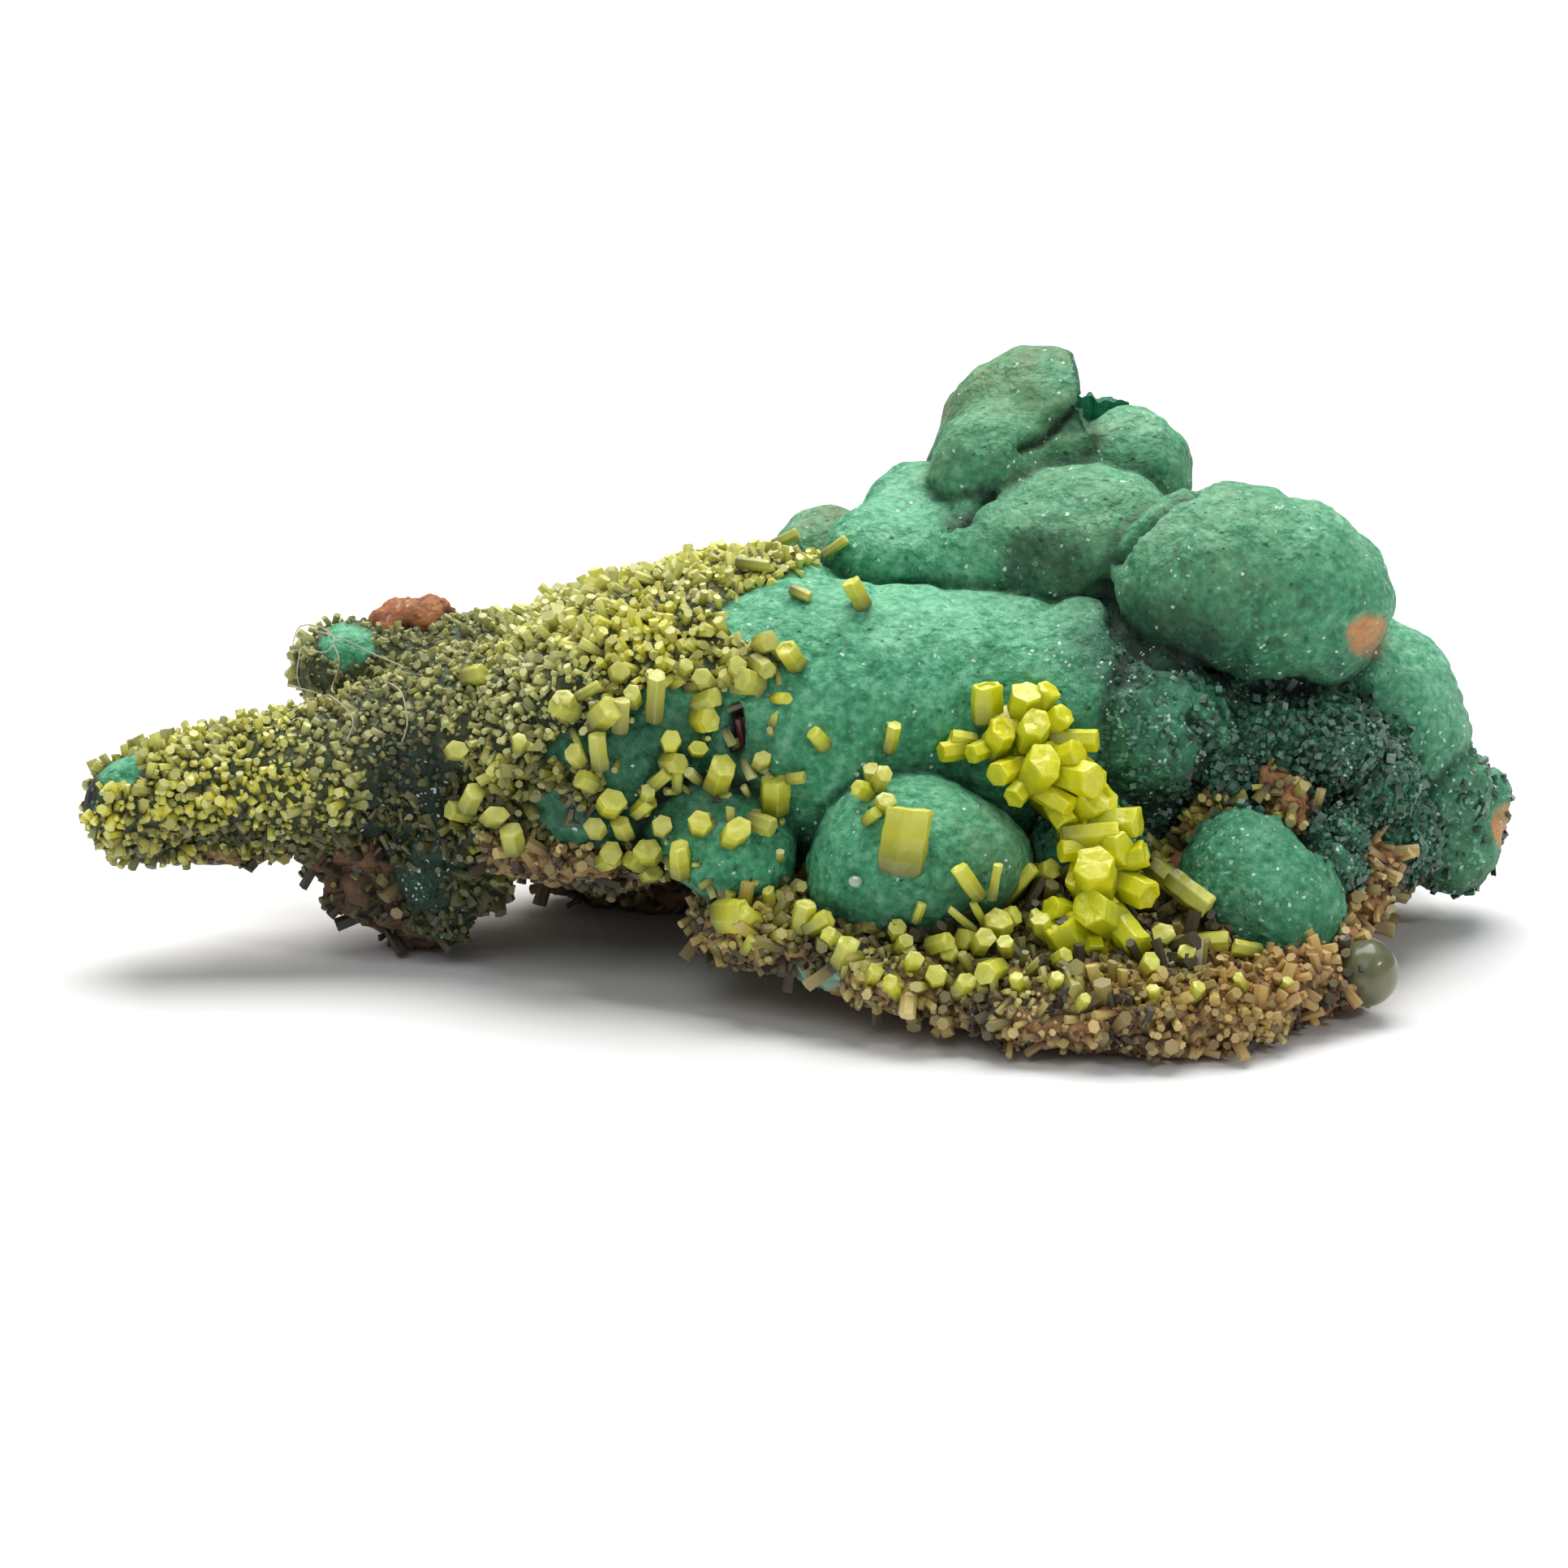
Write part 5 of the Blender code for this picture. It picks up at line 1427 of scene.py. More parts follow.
@dataclass
class Prisms:
    """Crystals, a row for each: middles, long axes, sizes in millimetres, tints, dust, shade and ovalness."""

    middles: Array
    axes: Array
    widths: Array
    lengths: Array
    spins: Array
    slants: Array
    tints: Array
    dusts: Array
    shades: Array
    ovals: Array

    @classmethod
    def of(
        cls, generator: np.random.Generator, middles: Array, axes: Array, widths: Array, lengths: Array
    ) -> "Prisms":
        """Crystals with a turn about the axis, a slanted end and a tint each at random, and no dust."""
        count = len(middles)
        spins = generator.uniform(0.0, math.tau, count)
        slants = generator.normal(0.0, SLANT_SPREAD, (count, 2))
        tints, ovals = generator.uniform(0, 1, count), generator.normal(0.0, OVAL_SPREAD, count)
        none = np.zeros(count)
        return cls(middles, axes, widths, lengths, spins, slants, tints, none, none.copy(), ovals)

    def surface(
        self, profile: Profile, corners: int = 6, side_shares: Sequence[float] = (0.0,), wear: float = 0.0
    ) -> Surface:
        """Closed columns: one unit column of rings, scaled, slanted, turned and moved for each crystal.

        Args:
            profile: The rings.
            corners: How many corners a ring has.
            side_shares: Where each straight side has its points, as shares of the way to the next corner.
            wear: How far the faces are uneven, as a share of the radius.

        Returns:
            One surface with the values along, tint, dust and shade.
        """
        turns = np.arange(corners) * math.tau / corners
        corner = np.stack((np.cos(turns), np.sin(turns)), axis=1)[:, None]
        shares = np.array(side_shares)[None, :, None]
        outline = (corner * (1.0 - shares) + np.roll(corner, -1, axis=0) * shares).reshape(-1, 2)
        rings = np.array(profile.value)
        count, around = len(rings), len(outline)
        height = np.repeat(rings[:, 0], around)
        across = np.repeat(rings[:, 1], around) * np.tile(outline[:, 0], count) * (1.0 + self.ovals[:, None])
        aside = np.repeat(rings[:, 1], around) * np.tile(outline[:, 1], count) * (1.0 - self.ovals[:, None])
        helper = np.where(np.abs(self.axes[:, 2:]) < 0.9, [[0.0, 0.0, 1.0]], [[1.0, 0.0, 0.0]])
        first = unit(np.cross(helper, self.axes))
        second = np.cross(self.axes, first)
        cosine, sine = np.cos(self.spins)[:, None], np.sin(self.spins)[:, None]
        first, second = first * cosine + second * sine, second * cosine - first * sine
        slant = self.slants[:, :1] * across + self.slants[:, 1:] * aside
        slanted = np.clip(height, 0, 1)[None] * slant * self.widths[:, None]
        along = height[None] * self.lengths[:, None] + slanted
        radius = self.widths[:, None] / 2.0
        outwards = first[:, None] * across[..., None] + second[:, None] * aside[..., None]
        points = self.middles[:, None] + self.axes[:, None] * along[..., None] + outwards * radius[..., None]
        if wear:
            flat = points.reshape(-1, 3)
            swell, step = (value_noise(flat, size, 81).reshape(across.shape) * wear for size in (0.5, 0.33))
            step *= radius * (height > 0.4)
            points = points + outwards * (radius * swell)[..., None] + self.axes[:, None] * step[..., None]
        points[..., 2] = np.maximum(points[..., 2], 0.0)
        grid, sides = band(count, around)
        starts = np.arange(len(self.middles))[:, None, None] * count * around
        caps = np.stack((grid[0, ::-1], grid[-1]))
        faces = [(sides[None] + starts).reshape(-1, 4), (caps[None] + starts).reshape(-1, around)]
        own = {"tint": self.tints, "dust": self.dusts, "shade": self.shades}
        values = {label: np.repeat(rows, count * around) for label, rows in own.items()}
        values["along"] = np.tile(height + 0.5, len(self.middles))
        return Surface(points.reshape(-1, 3), faces, values)

    def only(self, kept: Array) -> "Prisms":
        """The crystals where kept is true."""
        return Prisms(*[getattr(self, name)[kept] for name in self.__dataclass_fields__])


@dataclass
class Ground:
    """What crystals grow on: surfaces, and a search tree over them."""

    surfaces: Sequence[Surface]

    def __post_init__(self) -> None:
        """Builds the tree, in millimetres."""
        whole = joined([Surface(surface.points, surface.faces) for surface in self.surfaces])
        faces = [row for rows in whole.faces for row in rows.tolist()]
        self.tree = BVHTree.FromPolygons(whole.points.tolist(), faces)

    def hit(self, seen_x: float, seen_y: float) -> tuple[Array, Array]:
        """The place first met along a pixel's line of sight, and the normal there."""
        place, normal, _, _ = self.tree.ray_cast(Vector(SIGHT.eye), Vector(SIGHT.line(seen_x, seen_y)))
        if place is None:
            raise ValueError(f"nothing is seen at pixel {seen_x}, {seen_y}")
        return np.array(place), np.array(normal)

    def seat(self, crystal: Crystal) -> Array:
        """The middle of a crystal that grows there: part of its half height off the surface, and its lift."""
        place, normal = self.hit(crystal.seen_x, crystal.seen_y)
        along = abs(float(SIGHT.axis(crystal) @ normal))
        across = math.sqrt(max(0.0, 1.0 - along * along))
        half = (crystal.length * along + crystal.width * across) / 2.0
        return place + normal * (half * SEATED_SHARE + crystal.lift)

    def grown(self, crystals: Sequence[Crystal], seed: int, tint: float, spread: float = 0.25) -> Prisms:
        """Crystals chosen one by one, each seated by its pixel.

        Args:
            crystals: The crystals.
            seed: Of the random turns and tints.
            tint: Their middle tint.
            spread: How far tints vary.

        Returns:
            The crystals.
        """
        generator = np.random.default_rng(seed)
        rows = np.array(crystals)
        middles = np.array([self.seat(crystal) for crystal in crystals])
        axes = np.array([SIGHT.axis(crystal) for crystal in crystals])
        made = Prisms.of(generator, middles, axes, rows[:, 2], rows[:, 3])
        made.tints = np.clip(tint + (made.tints - 0.5) * 2.0 * spread, 0.0, 1.0)
        made.spins = generator.uniform(-0.4, 0.4, len(rows))
        made.slants *= 0.5
        return made


def strewn(
    surface: Surface, generator: np.random.Generator, spacing: float, wanted: Array
) -> tuple[Array, Array]:
    """Places spread over a surface: drawn by area, then one kept in each cell of a lattice.

    Args:
        surface: What they lie on.
        generator: The source of the draws.
        spacing: The lattice's cell in millimetres.
        wanted: At each of the surface's points, whether places are wanted there.

    Returns:
        The places and their unit normals.
    """
    rows = surface.faces[0]
    rows = rows[wanted[rows].any(axis=1)]
    areas = np.linalg.norm(surface.face_normals(rows), axis=1) / 2.0
    count = int(areas.sum() / spacing**2 * DRAWS_IN_A_CELL)
    chosen = rows[generator.choice(len(rows), size=count, p=areas / areas.sum())]
    across, down = generator.uniform(0, 1, (2, count))
    corners = ((1 - across) * (1 - down), across * (1 - down), across * down, (1 - across) * down)
    shares = np.stack(corners, axis=1)
    places = (surface.points[chosen] * shares[..., None]).sum(axis=1)
    normals = unit((surface.corner_normals()[chosen] * shares[..., None]).sum(axis=1))
    cells = np.floor(places / spacing).astype(np.int64)
    _, kept = np.unique(cells, axis=0, return_index=True)
    return places[kept], normals[kept]


class Habit(NamedTuple):
    """How a cloud of crystals grows: spacing, widths and lengths in millimetres, tilt, and share sunk in."""

    spacing: float
    widths: tuple[float, float]
    slimness: tuple[float, float]
    tilt: float
    sunk: float
    seed: int


def cloud(surface: Surface, habit: Habit, density) -> Prisms:
    """Crystals that cover part of a surface, standing up from it at a random tilt.

    Args:
        surface: What they grow on.
        habit: Their spacing and sizes.
        density: A function of places and normals that gives how much of the surface is covered.

    Returns:
        The crystals.
    """
    generator = np.random.default_rng(habit.seed)
    wanted = density(surface.points, surface.corner_normals()) > 0.01
    places, normals = strewn(surface, generator, habit.spacing, wanted)
    kept = generator.uniform(0, 1, len(places)) < density(places, normals)
    places, normals = places[kept], normals[kept]
    count = len(places)
    axes = unit(normals + habit.tilt * unit(generator.normal(0, 1, (count, 3))))
    drift = 1.0 + SIZE_DRIFT * value_noise(places, 3.0, habit.seed)
    widths = generator.uniform(*habit.widths, count) * drift
    lengths = widths * generator.uniform(*habit.slimness, count)
    middles = places + axes * (lengths * (0.5 - habit.sunk))[:, None]
    made = Prisms.of(generator, middles, axes, widths, lengths)
    # Painted shade on crystals that face down, and on a random share as if set deeper among the others.
    recessed = generator.uniform(0.0, 1.0, count) ** 2
    under = UNDER_SHADE * ramp(-normals[:, 2], -0.1, 0.8)
    made.shades = np.clip(under + RECESS_SHADE * recessed, 0.0, MOST_SHADE)
    return made.only(middles[:, 2] - np.abs(axes[:, 2]) * lengths / 2.0 - widths / 2.0 > 0.0)


class Cover:
    """Where the druse grows: how much of the surface it hides, from none to one."""

    @staticmethod
    def seen(normals: Array) -> Array:
        """Whether a surface faces the viewer."""
        return normals @ SIGHT.ahead < GRAZING

    @classmethod
    def arm(cls, points: Array, normals: Array) -> Array:
        """The druse of the arm and ledge, without its bare spots and thinner in the dark gap."""
        share = MALACHITE_FIELD.share(points, DRUSE_ON_ARM)
        pixels, seen = SIGHT.pixels(points), cls.seen(normals)
        for spot in BARE_SPOTS:
            share *= 1.0 - np.where(seen, spot.weight(pixels), 0.0)
        thin = seen & inside(pixels, DARK_GAP)
        return share * np.where(thin, GAP_COVER, 1.0) * (LIMONITE_FIELD.skin(points) > JUST_UNDER)

    @classmethod
    def shoulder(cls, points: Array, normals: Array) -> Array:
        """The druse of the shoulder: by outline on the display face, by lobe on the back."""
        pixels, seen = SIGHT.pixels(points), cls.seen(normals)
        left = np.clip(MALACHITE_FIELD.share(points, DRUSE_ON_SHOULDER | SHOULDER_NEIGHBOURS) * 2.0, 0, 1)
        sparse = np.where(inside(pixels, SPARSE_SHOULDER), SPARSE_COVER, 0.0)
        front = np.where(inside(pixels, DENSE_SHOULDER), 1.0, sparse)
        behind = MALACHITE_FIELD.share(points, DRUSE_ON_SHOULDER) * (1.0 - ramp(points[:, 0], -4.0, 1.5))
        return np.where(seen, front * left, behind) * (LIMONITE_FIELD.skin(points) > JUST_UNDER)


@dataclass
class MalachiteMass:
    """The malachite: one skin round its lobes, with creases, grain, rough knobs, pits and broken faces."""

    voxel: float = 0.27
    swell: float = 0.22
    ripple: float = 0.13
    grain: float = 0.19
    knobs: float = 0.4
    bed: float = 0.05
    bed_relief: float = 0.08
    crumb_level: float = 0.45
    lumps: float = 0.1
    back_lumps: float = 0.55
    crease_depth: float = 0.14
    pit_depth: float = 0.8
    side_pit_depth: float = 0.4
    crack_depth: float = 0.5
    scar_depth: float = 0.12
    scar_relief: float = 0.1
    fracture_facing: float = 0.97

    def build(self) -> Surface:
        """The skin, moved out along its normals by noises and in at creases and pits.

        Returns:
            The surface with the values that its finish reads.
        """
        raw = voxel_skin(joined(ellipsoid(lobe) for lobe in MALACHITE_LOBES.values()), self.voxel)
        points, normals = MALACHITE_FIELD.settle(raw.points)
        pixels, seen = SIGHT.pixels(points), Cover.seen(normals)
        crease = MALACHITE_FIELD.creases(points, 0.6)
        shaded = np.maximum(SHADED_SIDE.weight(pixels, 0.5), 1.4 * SHADED_GAP.weight(pixels, 0.3)) * seen
        rough = MALACHITE_FIELD.share(points, MALACHITE_ROUGH)
        rough = np.clip(rough * (1.0 + 0.5 * fractal(points, *KNOB_PATCHES)), 0.0, 1.0)
        bed = ramp(Cover.arm(points, normals) + Cover.shoulder(points, normals), 0.2, 0.6)
        grains, _ = crumbs(points, *KNOB_CRUMBS)
        fine_grains, _ = crumbs(points, *FINE_KNOB_CRUMBS)
        pit = np.where(seen, SHARD_PIT.weight(pixels), 0.0)
        side_pit = np.where(seen, SIDE_PIT.weight(pixels, 0.8), 0.0)
        cleft = 0.5 * np.where(seen, CROWN_CLEFT.weight(pixels, 0.8), 0.0)
        cracks = np.where(seen, np.max([seam.weight(pixels) for seam in SEAMS], axis=0), 0.0)
        stain = np.where(seen, TIP_STAIN.weight(pixels, 0.5), 0.0)
        hollow = np.where(seen, SHADED_HOLLOW.weight(pixels, 0.6), 0.0)
        ragged = 1.0 + 0.7 * fractal(points, *RAGGED_EDGE)
        scar = SALMON_SCAR.weight(pixels, 0.2) * MALACHITE_FIELD.share(points, SCAR_LOBES, 0.3) * ragged
        scar += ORANGE_TIP.weight(pixels, 0.3) * MALACHITE_FIELD.share(points, TIP_LOBES, 0.3) * ragged
        scar = np.where(seen, np.clip(scar, 0.0, 1.0), 0.0)
        height = self.swell * fractal(points, *MASS_SWELL) + self.grain * fractal(points, *MASS_GRAIN)
        height += self.ripple * fractal(points, *MASS_RIPPLE)
        lumps, _ = crumbs(points, *BACK_CRUMBS)
        back = ramp(normals @ SIGHT.ahead, 0.0, 0.5) * (1.0 - bed)
        height += (self.lumps + self.back_lumps * back) * (lumps - 0.4)
        knobs = self.knobs * (grains - self.crumb_level)
        knobs = knobs + 0.5 * self.knobs * (fine_grains - self.crumb_level)
        height += rough * knobs
        height += bed * (self.bed + self.bed_relief * fractal(points, *BED_RELIEF))
        sunk = self.crease_depth * crease + self.pit_depth * (pit + hollow + cleft)
        height -= sunk + self.side_pit_depth * side_pit
        height -= self.crack_depth * cracks
        height -= scar * (self.scar_depth + self.scar_relief * fractal(points, *SCAR_RELIEF))
        surface = Surface(points + normals * height[:, None], raw.faces)
        broken = MALACHITE_FIELD.share(points, {"crown_plate": 1.0}, 0.3)
        on_break = normals @ FRACTURE > self.fracture_facing
        fresh = np.maximum(broken, on_break * MALACHITE_FIELD.share(points, {"crown_left": 1.0}))
        # Painted shade on undersides, creases, cracks, the shaded side and gap, under the big lobe, knob gaps
        # and apron.
        under = ramp(-normals[:, 2], -0.05, 0.75) * (0.8 + 0.5 * fractal(points, *UNDER_PATCHES))
        shade = 0.5 * under + 0.5 * crease + 0.55 * shaded + 0.5 * seen * SHADE_UNDER_BIG_LOBE.weight(pixels, 0.8)
        shade += 0.45 * rough * ramp(0.35 - grains, 0.0, 0.4) + 0.3 * seen * SHADED_APRON.weight(pixels, 0.6)
        shade += 0.85 * cracks
        pale = MALACHITE_FIELD.share(points, PALE_LOBES)
        film = MALACHITE_FIELD.share(points, MALACHITE_FILM, 0.8)
        surface.values = {
            "crease": crease,
            "shade": np.clip(shade, 0.0, MOST_MASS_SHADE),
            # Painted top light where the surface faces up, broken by patches, plus the paler lobes' own
            # colour.
            "painted_top_light_and_pale": ramp(normals[:, 2] + 0.4 * fractal(points, *TOP_LIGHT_PATCHES) + 0.7 * pale, 0.45, 1.0),
            "rough": rough,
            "film": film * (1.0 + 0.6 * fractal(points, *FILM_PATCHES)),
            "bed": bed,
            "scar": scar,
            "fresh": fresh,
            # The arm tip's stain, and painted shade in the shard's pit, the side pit, the hollow and the
            # crown's cleft.
            "pit": np.max((pit, stain, 0.8 * hollow, 0.6 * side_pit, 0.7 * cleft), axis=0),
        }
        return surface

    def dress(self, surface: Surface) -> bpy.types.Object:
        """Puts the mass in the scene with its finish."""
        return piece("malachite_mass", surface, MalachiteFinish().material(), ["malachite"])


@dataclass
class LimoniteRock:
    """The matrix: a crumbly skin round its lumps, cut off flat where it stands."""

    voxel: float = 0.28
    swell: float = 0.28
    crumb: float = 0.36
    fine_crumb: float = 0.2

    def build(self) -> Surface:
        """The skin, moved out by crumbs of two sizes and pressed flat on to the ground.

        Returns:
            The surface with the values that its finish reads.
        """
        raw = voxel_skin(joined(ellipsoid(lobe) for lobe in LIMONITE_LOBES.values()), self.voxel)
        points, normals = LIMONITE_FIELD.settle(raw.points)
        coarse, own = crumbs(points, *ROCK_CRUMBS)
        fine, _ = crumbs(points, *FINE_ROCK_CRUMBS)
        relief = self.crumb * (coarse - 0.5) + self.fine_crumb * (fine - 0.5)
        points = points + normals * (self.swell * fractal(points, *ROCK_SWELL) + relief)[:, None]
        points[:, 2] = np.maximum(points[:, 2], 0.0)
        seen = Cover.seen(normals)
        pixels = SIGHT.pixels(points)
        surface = Surface(points, raw.faces)
        surface.values = {
            # Painted shade where the crumbs dip.
            "hollow": 0.85 * ramp(-relief, 0.02, 0.16),
            "rust": np.clip(LIMONITE_FIELD.share(points, LIMONITE_RUST) + 0.3 * own, 0, 1),
            # The tip's own dark colour, and painted shade on the keel, the foot and the base under the mass.
            "dark": LIMONITE_FIELD.share(points, LIMONITE_DARK_AND_SHADE),
            "teal": np.where(seen, TEAL_ON_RIM.weight(pixels, 0.3), 0.0),
        }
        return surface

    def dress(self, surface: Surface) -> bpy.types.Object:
        """Puts the rock in the scene with its finish."""
        finish = LimoniteFinish().material()
        return piece("limonite_rock", surface, finish, ["limonite_matrix"])


@dataclass
class OliveBead:
    """The ball at the right end of the rim: an ellipsoid with shallow dents."""

    rings: int = 48
    segments: int = 72
    dent: float = 0.05

    def dress(self) -> bpy.types.Object:
        """Builds it and puts it in the scene."""
        surface = ellipsoid(BEAD, self.rings, self.segments)
        normals = surface.corner_normals()
        height = self.dent * fractal(surface.points, *BEAD_DENTS)
        surface.points = surface.points + normals * height[:, None]
        return piece("olive_bead", surface, BEAD_FINISH.material(), ["malachite_bead"])


@dataclass
class Druse:
    """The two crusts of small crystals, and the larger ones that stand out of the shoulder's."""

    arm: Habit = Habit(0.46, (0.24, 0.46), (1.0, 2.0), 1.8, 0.2, 101)
    arm_fill: Habit = Habit(0.38, (0.14, 0.28), (1.0, 2.4), 1.8, 0.15, 102)
    shoulder: Habit = Habit(0.5, (0.28, 0.46), (1.4, 2.8), 1.6, 0.25, 103)
    shoulder_fill: Habit = Habit(0.42, (0.18, 0.32), (1.2, 2.6), 1.6, 0.2, 104)
    seed: int = 111
    tint: float = 0.55
    dust: float = 0.25
    wear: float = 0.1

    @staticmethod
    def colour(prisms: Prisms) -> Prisms:
        """Sets tints, dust and painted shade by place: yellow at the arm's end and the shoulder's edge, grey
        in between.
        """
        pixels = SIGHT.pixels(prisms.middles)
        x, y = pixels.T
        drift = 0.5 * fractal(prisms.middles, *DRUSE_DRIFT)
        left = 1.0 - ramp(x, *ARM_END_AT)
        golden = GOLDEN_ARM.weight(pixels, 1.0)
        yellow = YELLOW_CREST.weight(pixels, 1.0) + YELLOW_LEFT.weight(pixels, 1.0)
        yellow = yellow + YELLOW_LOW.weight(pixels, 1.0) + YELLOW_TOP.weight(pixels, 1.0)
        tint = 0.3 + 0.45 * left + 0.3 * golden + 0.5 * np.clip(yellow, 0, 1) + drift
        prisms.tints = np.clip(tint + (prisms.tints - 0.5) * 0.5, 0.0, 1.0)
        grey = ramp(x, *GREY_FROM) * (1.0 - ramp(x, *GREY_TO)) * (1.0 - ramp(y, *GREY_DOWN_TO))
        prisms.dusts = np.clip(0.75 * grey + 0.25 * value_noise(prisms.middles, 2.0, 63), 0.0, 1.0)
        prisms.widths *= 1.0 - GREY_SHRINK * grey
        prisms.lengths *= 1.0 - GREY_SHRINK * grey
        # Painted shade in the groove, the gap, low on the shoulder, at the foot and under the shoulder;
        # painted light on the lit shoulder.
        groove = ARM_GROOVE.weight(pixels)
        dark = groove + 0.75 * SHADED_GAP.weight(pixels, 0.4) + 0.6 * SHADED_LOW.weight(pixels, 0.6)
        dark -= 0.3 * LIT_SHOULDER.weight(pixels, 0.6)
        dark += 0.55 * FOOT_ZONE.weight(pixels, 0.3) + 0.4 * SHADE_UNDER_SHOULDER.weight(pixels, 0.4)
        prisms.shades = np.clip(prisms.shades + dark, 0.0, MOST_MASS_SHADE)
        return prisms

    def dress(self, mass: Surface, ground: Ground) -> None:
        """Grows both crusts on the malachite and puts them in the scene."""
        finish = DRUSE_FINISH.material()
        arm = joined(
            self.colour(cloud(mass, habit, Cover.arm)).surface(Profile.DRUSE)
            for habit in (self.arm, self.arm_fill)
        )
        piece("arm_druse", arm, finish, ["druse_arm"], smooth=False)
        shoulder = joined(
            self.colour(cloud(mass, habit, Cover.shoulder)).surface(Profile.DRUSE)
            for habit in (self.shoulder, self.shoulder_fill)
        )
        piece("shoulder_druse", shoulder, finish, ["druse_shoulder"], smooth=False)
        larger = ground.grown(SHOULDER_CRYSTALS, self.seed, self.tint)
        larger.dusts = self.dust * np.ones(len(larger.dusts))
        shape = larger.surface(Profile.SOLID, side_shares=WORN_SIDES, wear=self.wear)
        piece("shoulder_crystals", shape, SINGLE_FINISH.material(), smooth=False)


@dataclass
class RimCrust:
    """What grows on the limonite: tan and mossy crystals on the rim, brown ones under the shoulder."""

    rim: Habit = Habit(0.6, (0.24, 0.52), (1.2, 2.8), 1.6, 0.2, 121)
    fill: Habit = Habit(0.42, (0.14, 0.3), (1.0, 2.6), 1.6, 0.2, 122)
    rods: Habit = Habit(1.25, (0.34, 0.62), (1.3, 2.8), 1.6, 0.1, 123)
    seed: int = 131
    tint: float = 0.6
    wear: float = 0.12
    edge_height: float = 1166.0
    edge_fall: float = 0.13
    edge_start: float = 900.0
    edge_above: float = 10.0
    edge_below: float = 45.0

    def density(self, points: Array, normals: Array) -> Array:
        """Dense where the rock faces the light, bare underneath and where it stands."""
        share = LIMONITE_FIELD.share(points, RIM_LOBES)
        open_side = 1.0 - ramp(-normals[:, 2], 0.5, 0.9)
        clear = (MALACHITE_FIELD.skin(points) > JUST_UNDER) & (points[:, 2] > 0.35)
        bare = np.where(Cover.seen(normals), TEAL_ON_RIM.weight(SIGHT.pixels(points), 0.3), 0.0)
        return share * open_side * clear * (1.0 - 0.85 * bare)

    def rod_density(self, points: Array, normals: Array) -> Array:
        """The same, but only on the rim and the base."""
        return self.density(points, normals) * ramp(points[:, 0], -5.0, -3.0)

    def colour(self, prisms: Prisms) -> Prisms:
        """Tan on the edge, mossy towards the malachite, rusty at the right, darker in random patches, with
        painted shade.
        """
        pixels = SIGHT.pixels(prisms.middles)
        x, y = pixels.T
        edge = self.edge_height + self.edge_fall * (x - self.edge_start)
        inner = 1.0 - ramp(y, edge - self.edge_above, edge + self.edge_below)
        mossy = inner * (1.0 - ramp(x, *MOSSY_TO)) * ramp(x, *MOSSY_FROM)
        arm = 1.0 - ramp(x, *ARM_TO)
        prisms.tints = np.clip(0.85 * np.maximum(mossy, arm) + (prisms.tints - 0.4) * 0.5, 0.0, 1.0)
        rusty = 0.5 * inside(pixels, RUSTY_RIM) * ramp(x, *RUSTY_FROM)
        prisms.dusts = np.clip(rusty + 0.6 * fractal(prisms.middles, *RIM_DUST), 0.0, 0.9)
        # Painted shade at the foot, under the shoulder and on the apron, and darker random patches.
        dark = 0.55 * FOOT_ZONE.weight(pixels, 0.3) + 0.4 * SHADE_UNDER_SHOULDER.weight(pixels, 0.4)
        dark += 0.6 * SHADED_APRON.weight(pixels, 0.6) + 0.6 * ramp(fractal(prisms.middles, *RIM_SHADE), 0.05, 0.45)
        prisms.shades = np.clip(prisms.shades + dark, 0.0, MOST_SHADE)
        return prisms

    def dress(self, rock: Surface, ground: Ground) -> None:
        """Grows the crust and puts it in the scene."""
        finish = RIM_FINISH.material()
        habits = ((self.rim, self.density), (self.fill, self.density), (self.rods, self.rod_density))
        crust = joined(self.colour(cloud(rock, *habit)).surface(Profile.DRUSE) for habit in habits)
        piece("rim_crust", crust, finish, smooth=False)
        larger = ground.grown(RIM_CRYSTALS, self.seed, self.tint)
        shape = larger.surface(Profile.SOLID, side_shares=WORN_SIDES, wear=self.wear)
        piece("rim_crystals", shape, bpy.data.materials[SINGLE_FINISH.name], smooth=False)


@dataclass
class KnobCrystals:
    """Tiny dark blades that make the lower right knobs glitter."""

    habit: Habit = Habit(0.38, (0.16, 0.34), (0.6, 1.5), 1.2, 0.2, 141)
    chunky: Habit = Habit(0.6, (0.24, 0.46), (0.6, 1.4), 1.8, 0.4, 142)

    def density(self, points: Array, normals: Array) -> Array:
        """As rough as the malachite there."""
        rough = MALACHITE_FIELD.share(points, MALACHITE_ROUGH)
        thin = ramp(points[:, 0], -8.0, -4.0)
        return np.clip(rough * 1.3 - 0.35, 0.0, 1.0) * thin * (LIMONITE_FIELD.skin(points) > JUST_UNDER)

    def dress(self, mass: Surface) -> None:
        """Grows them and puts them in the scene."""
        parts = []
        for habit, least in ((self.habit, 0.0), (self.chunky, 0.75)):
            blades = cloud(mass, habit, self.density)
            blades = blades.only(MALACHITE_FIELD.share(blades.middles, MALACHITE_ROUGH) > least)
            blades.dusts = 0.3 * blades.tints
            blades.tints = np.clip(0.5 + 0.8 * fractal(blades.middles, *KNOB_TINTS), 0.0, 1.0)
            parts.append(blades.surface(Profile.DRUSE, corners=4))
        piece("knob_crystals", joined(parts), KNOB_FINISH.material(), smooth=False)


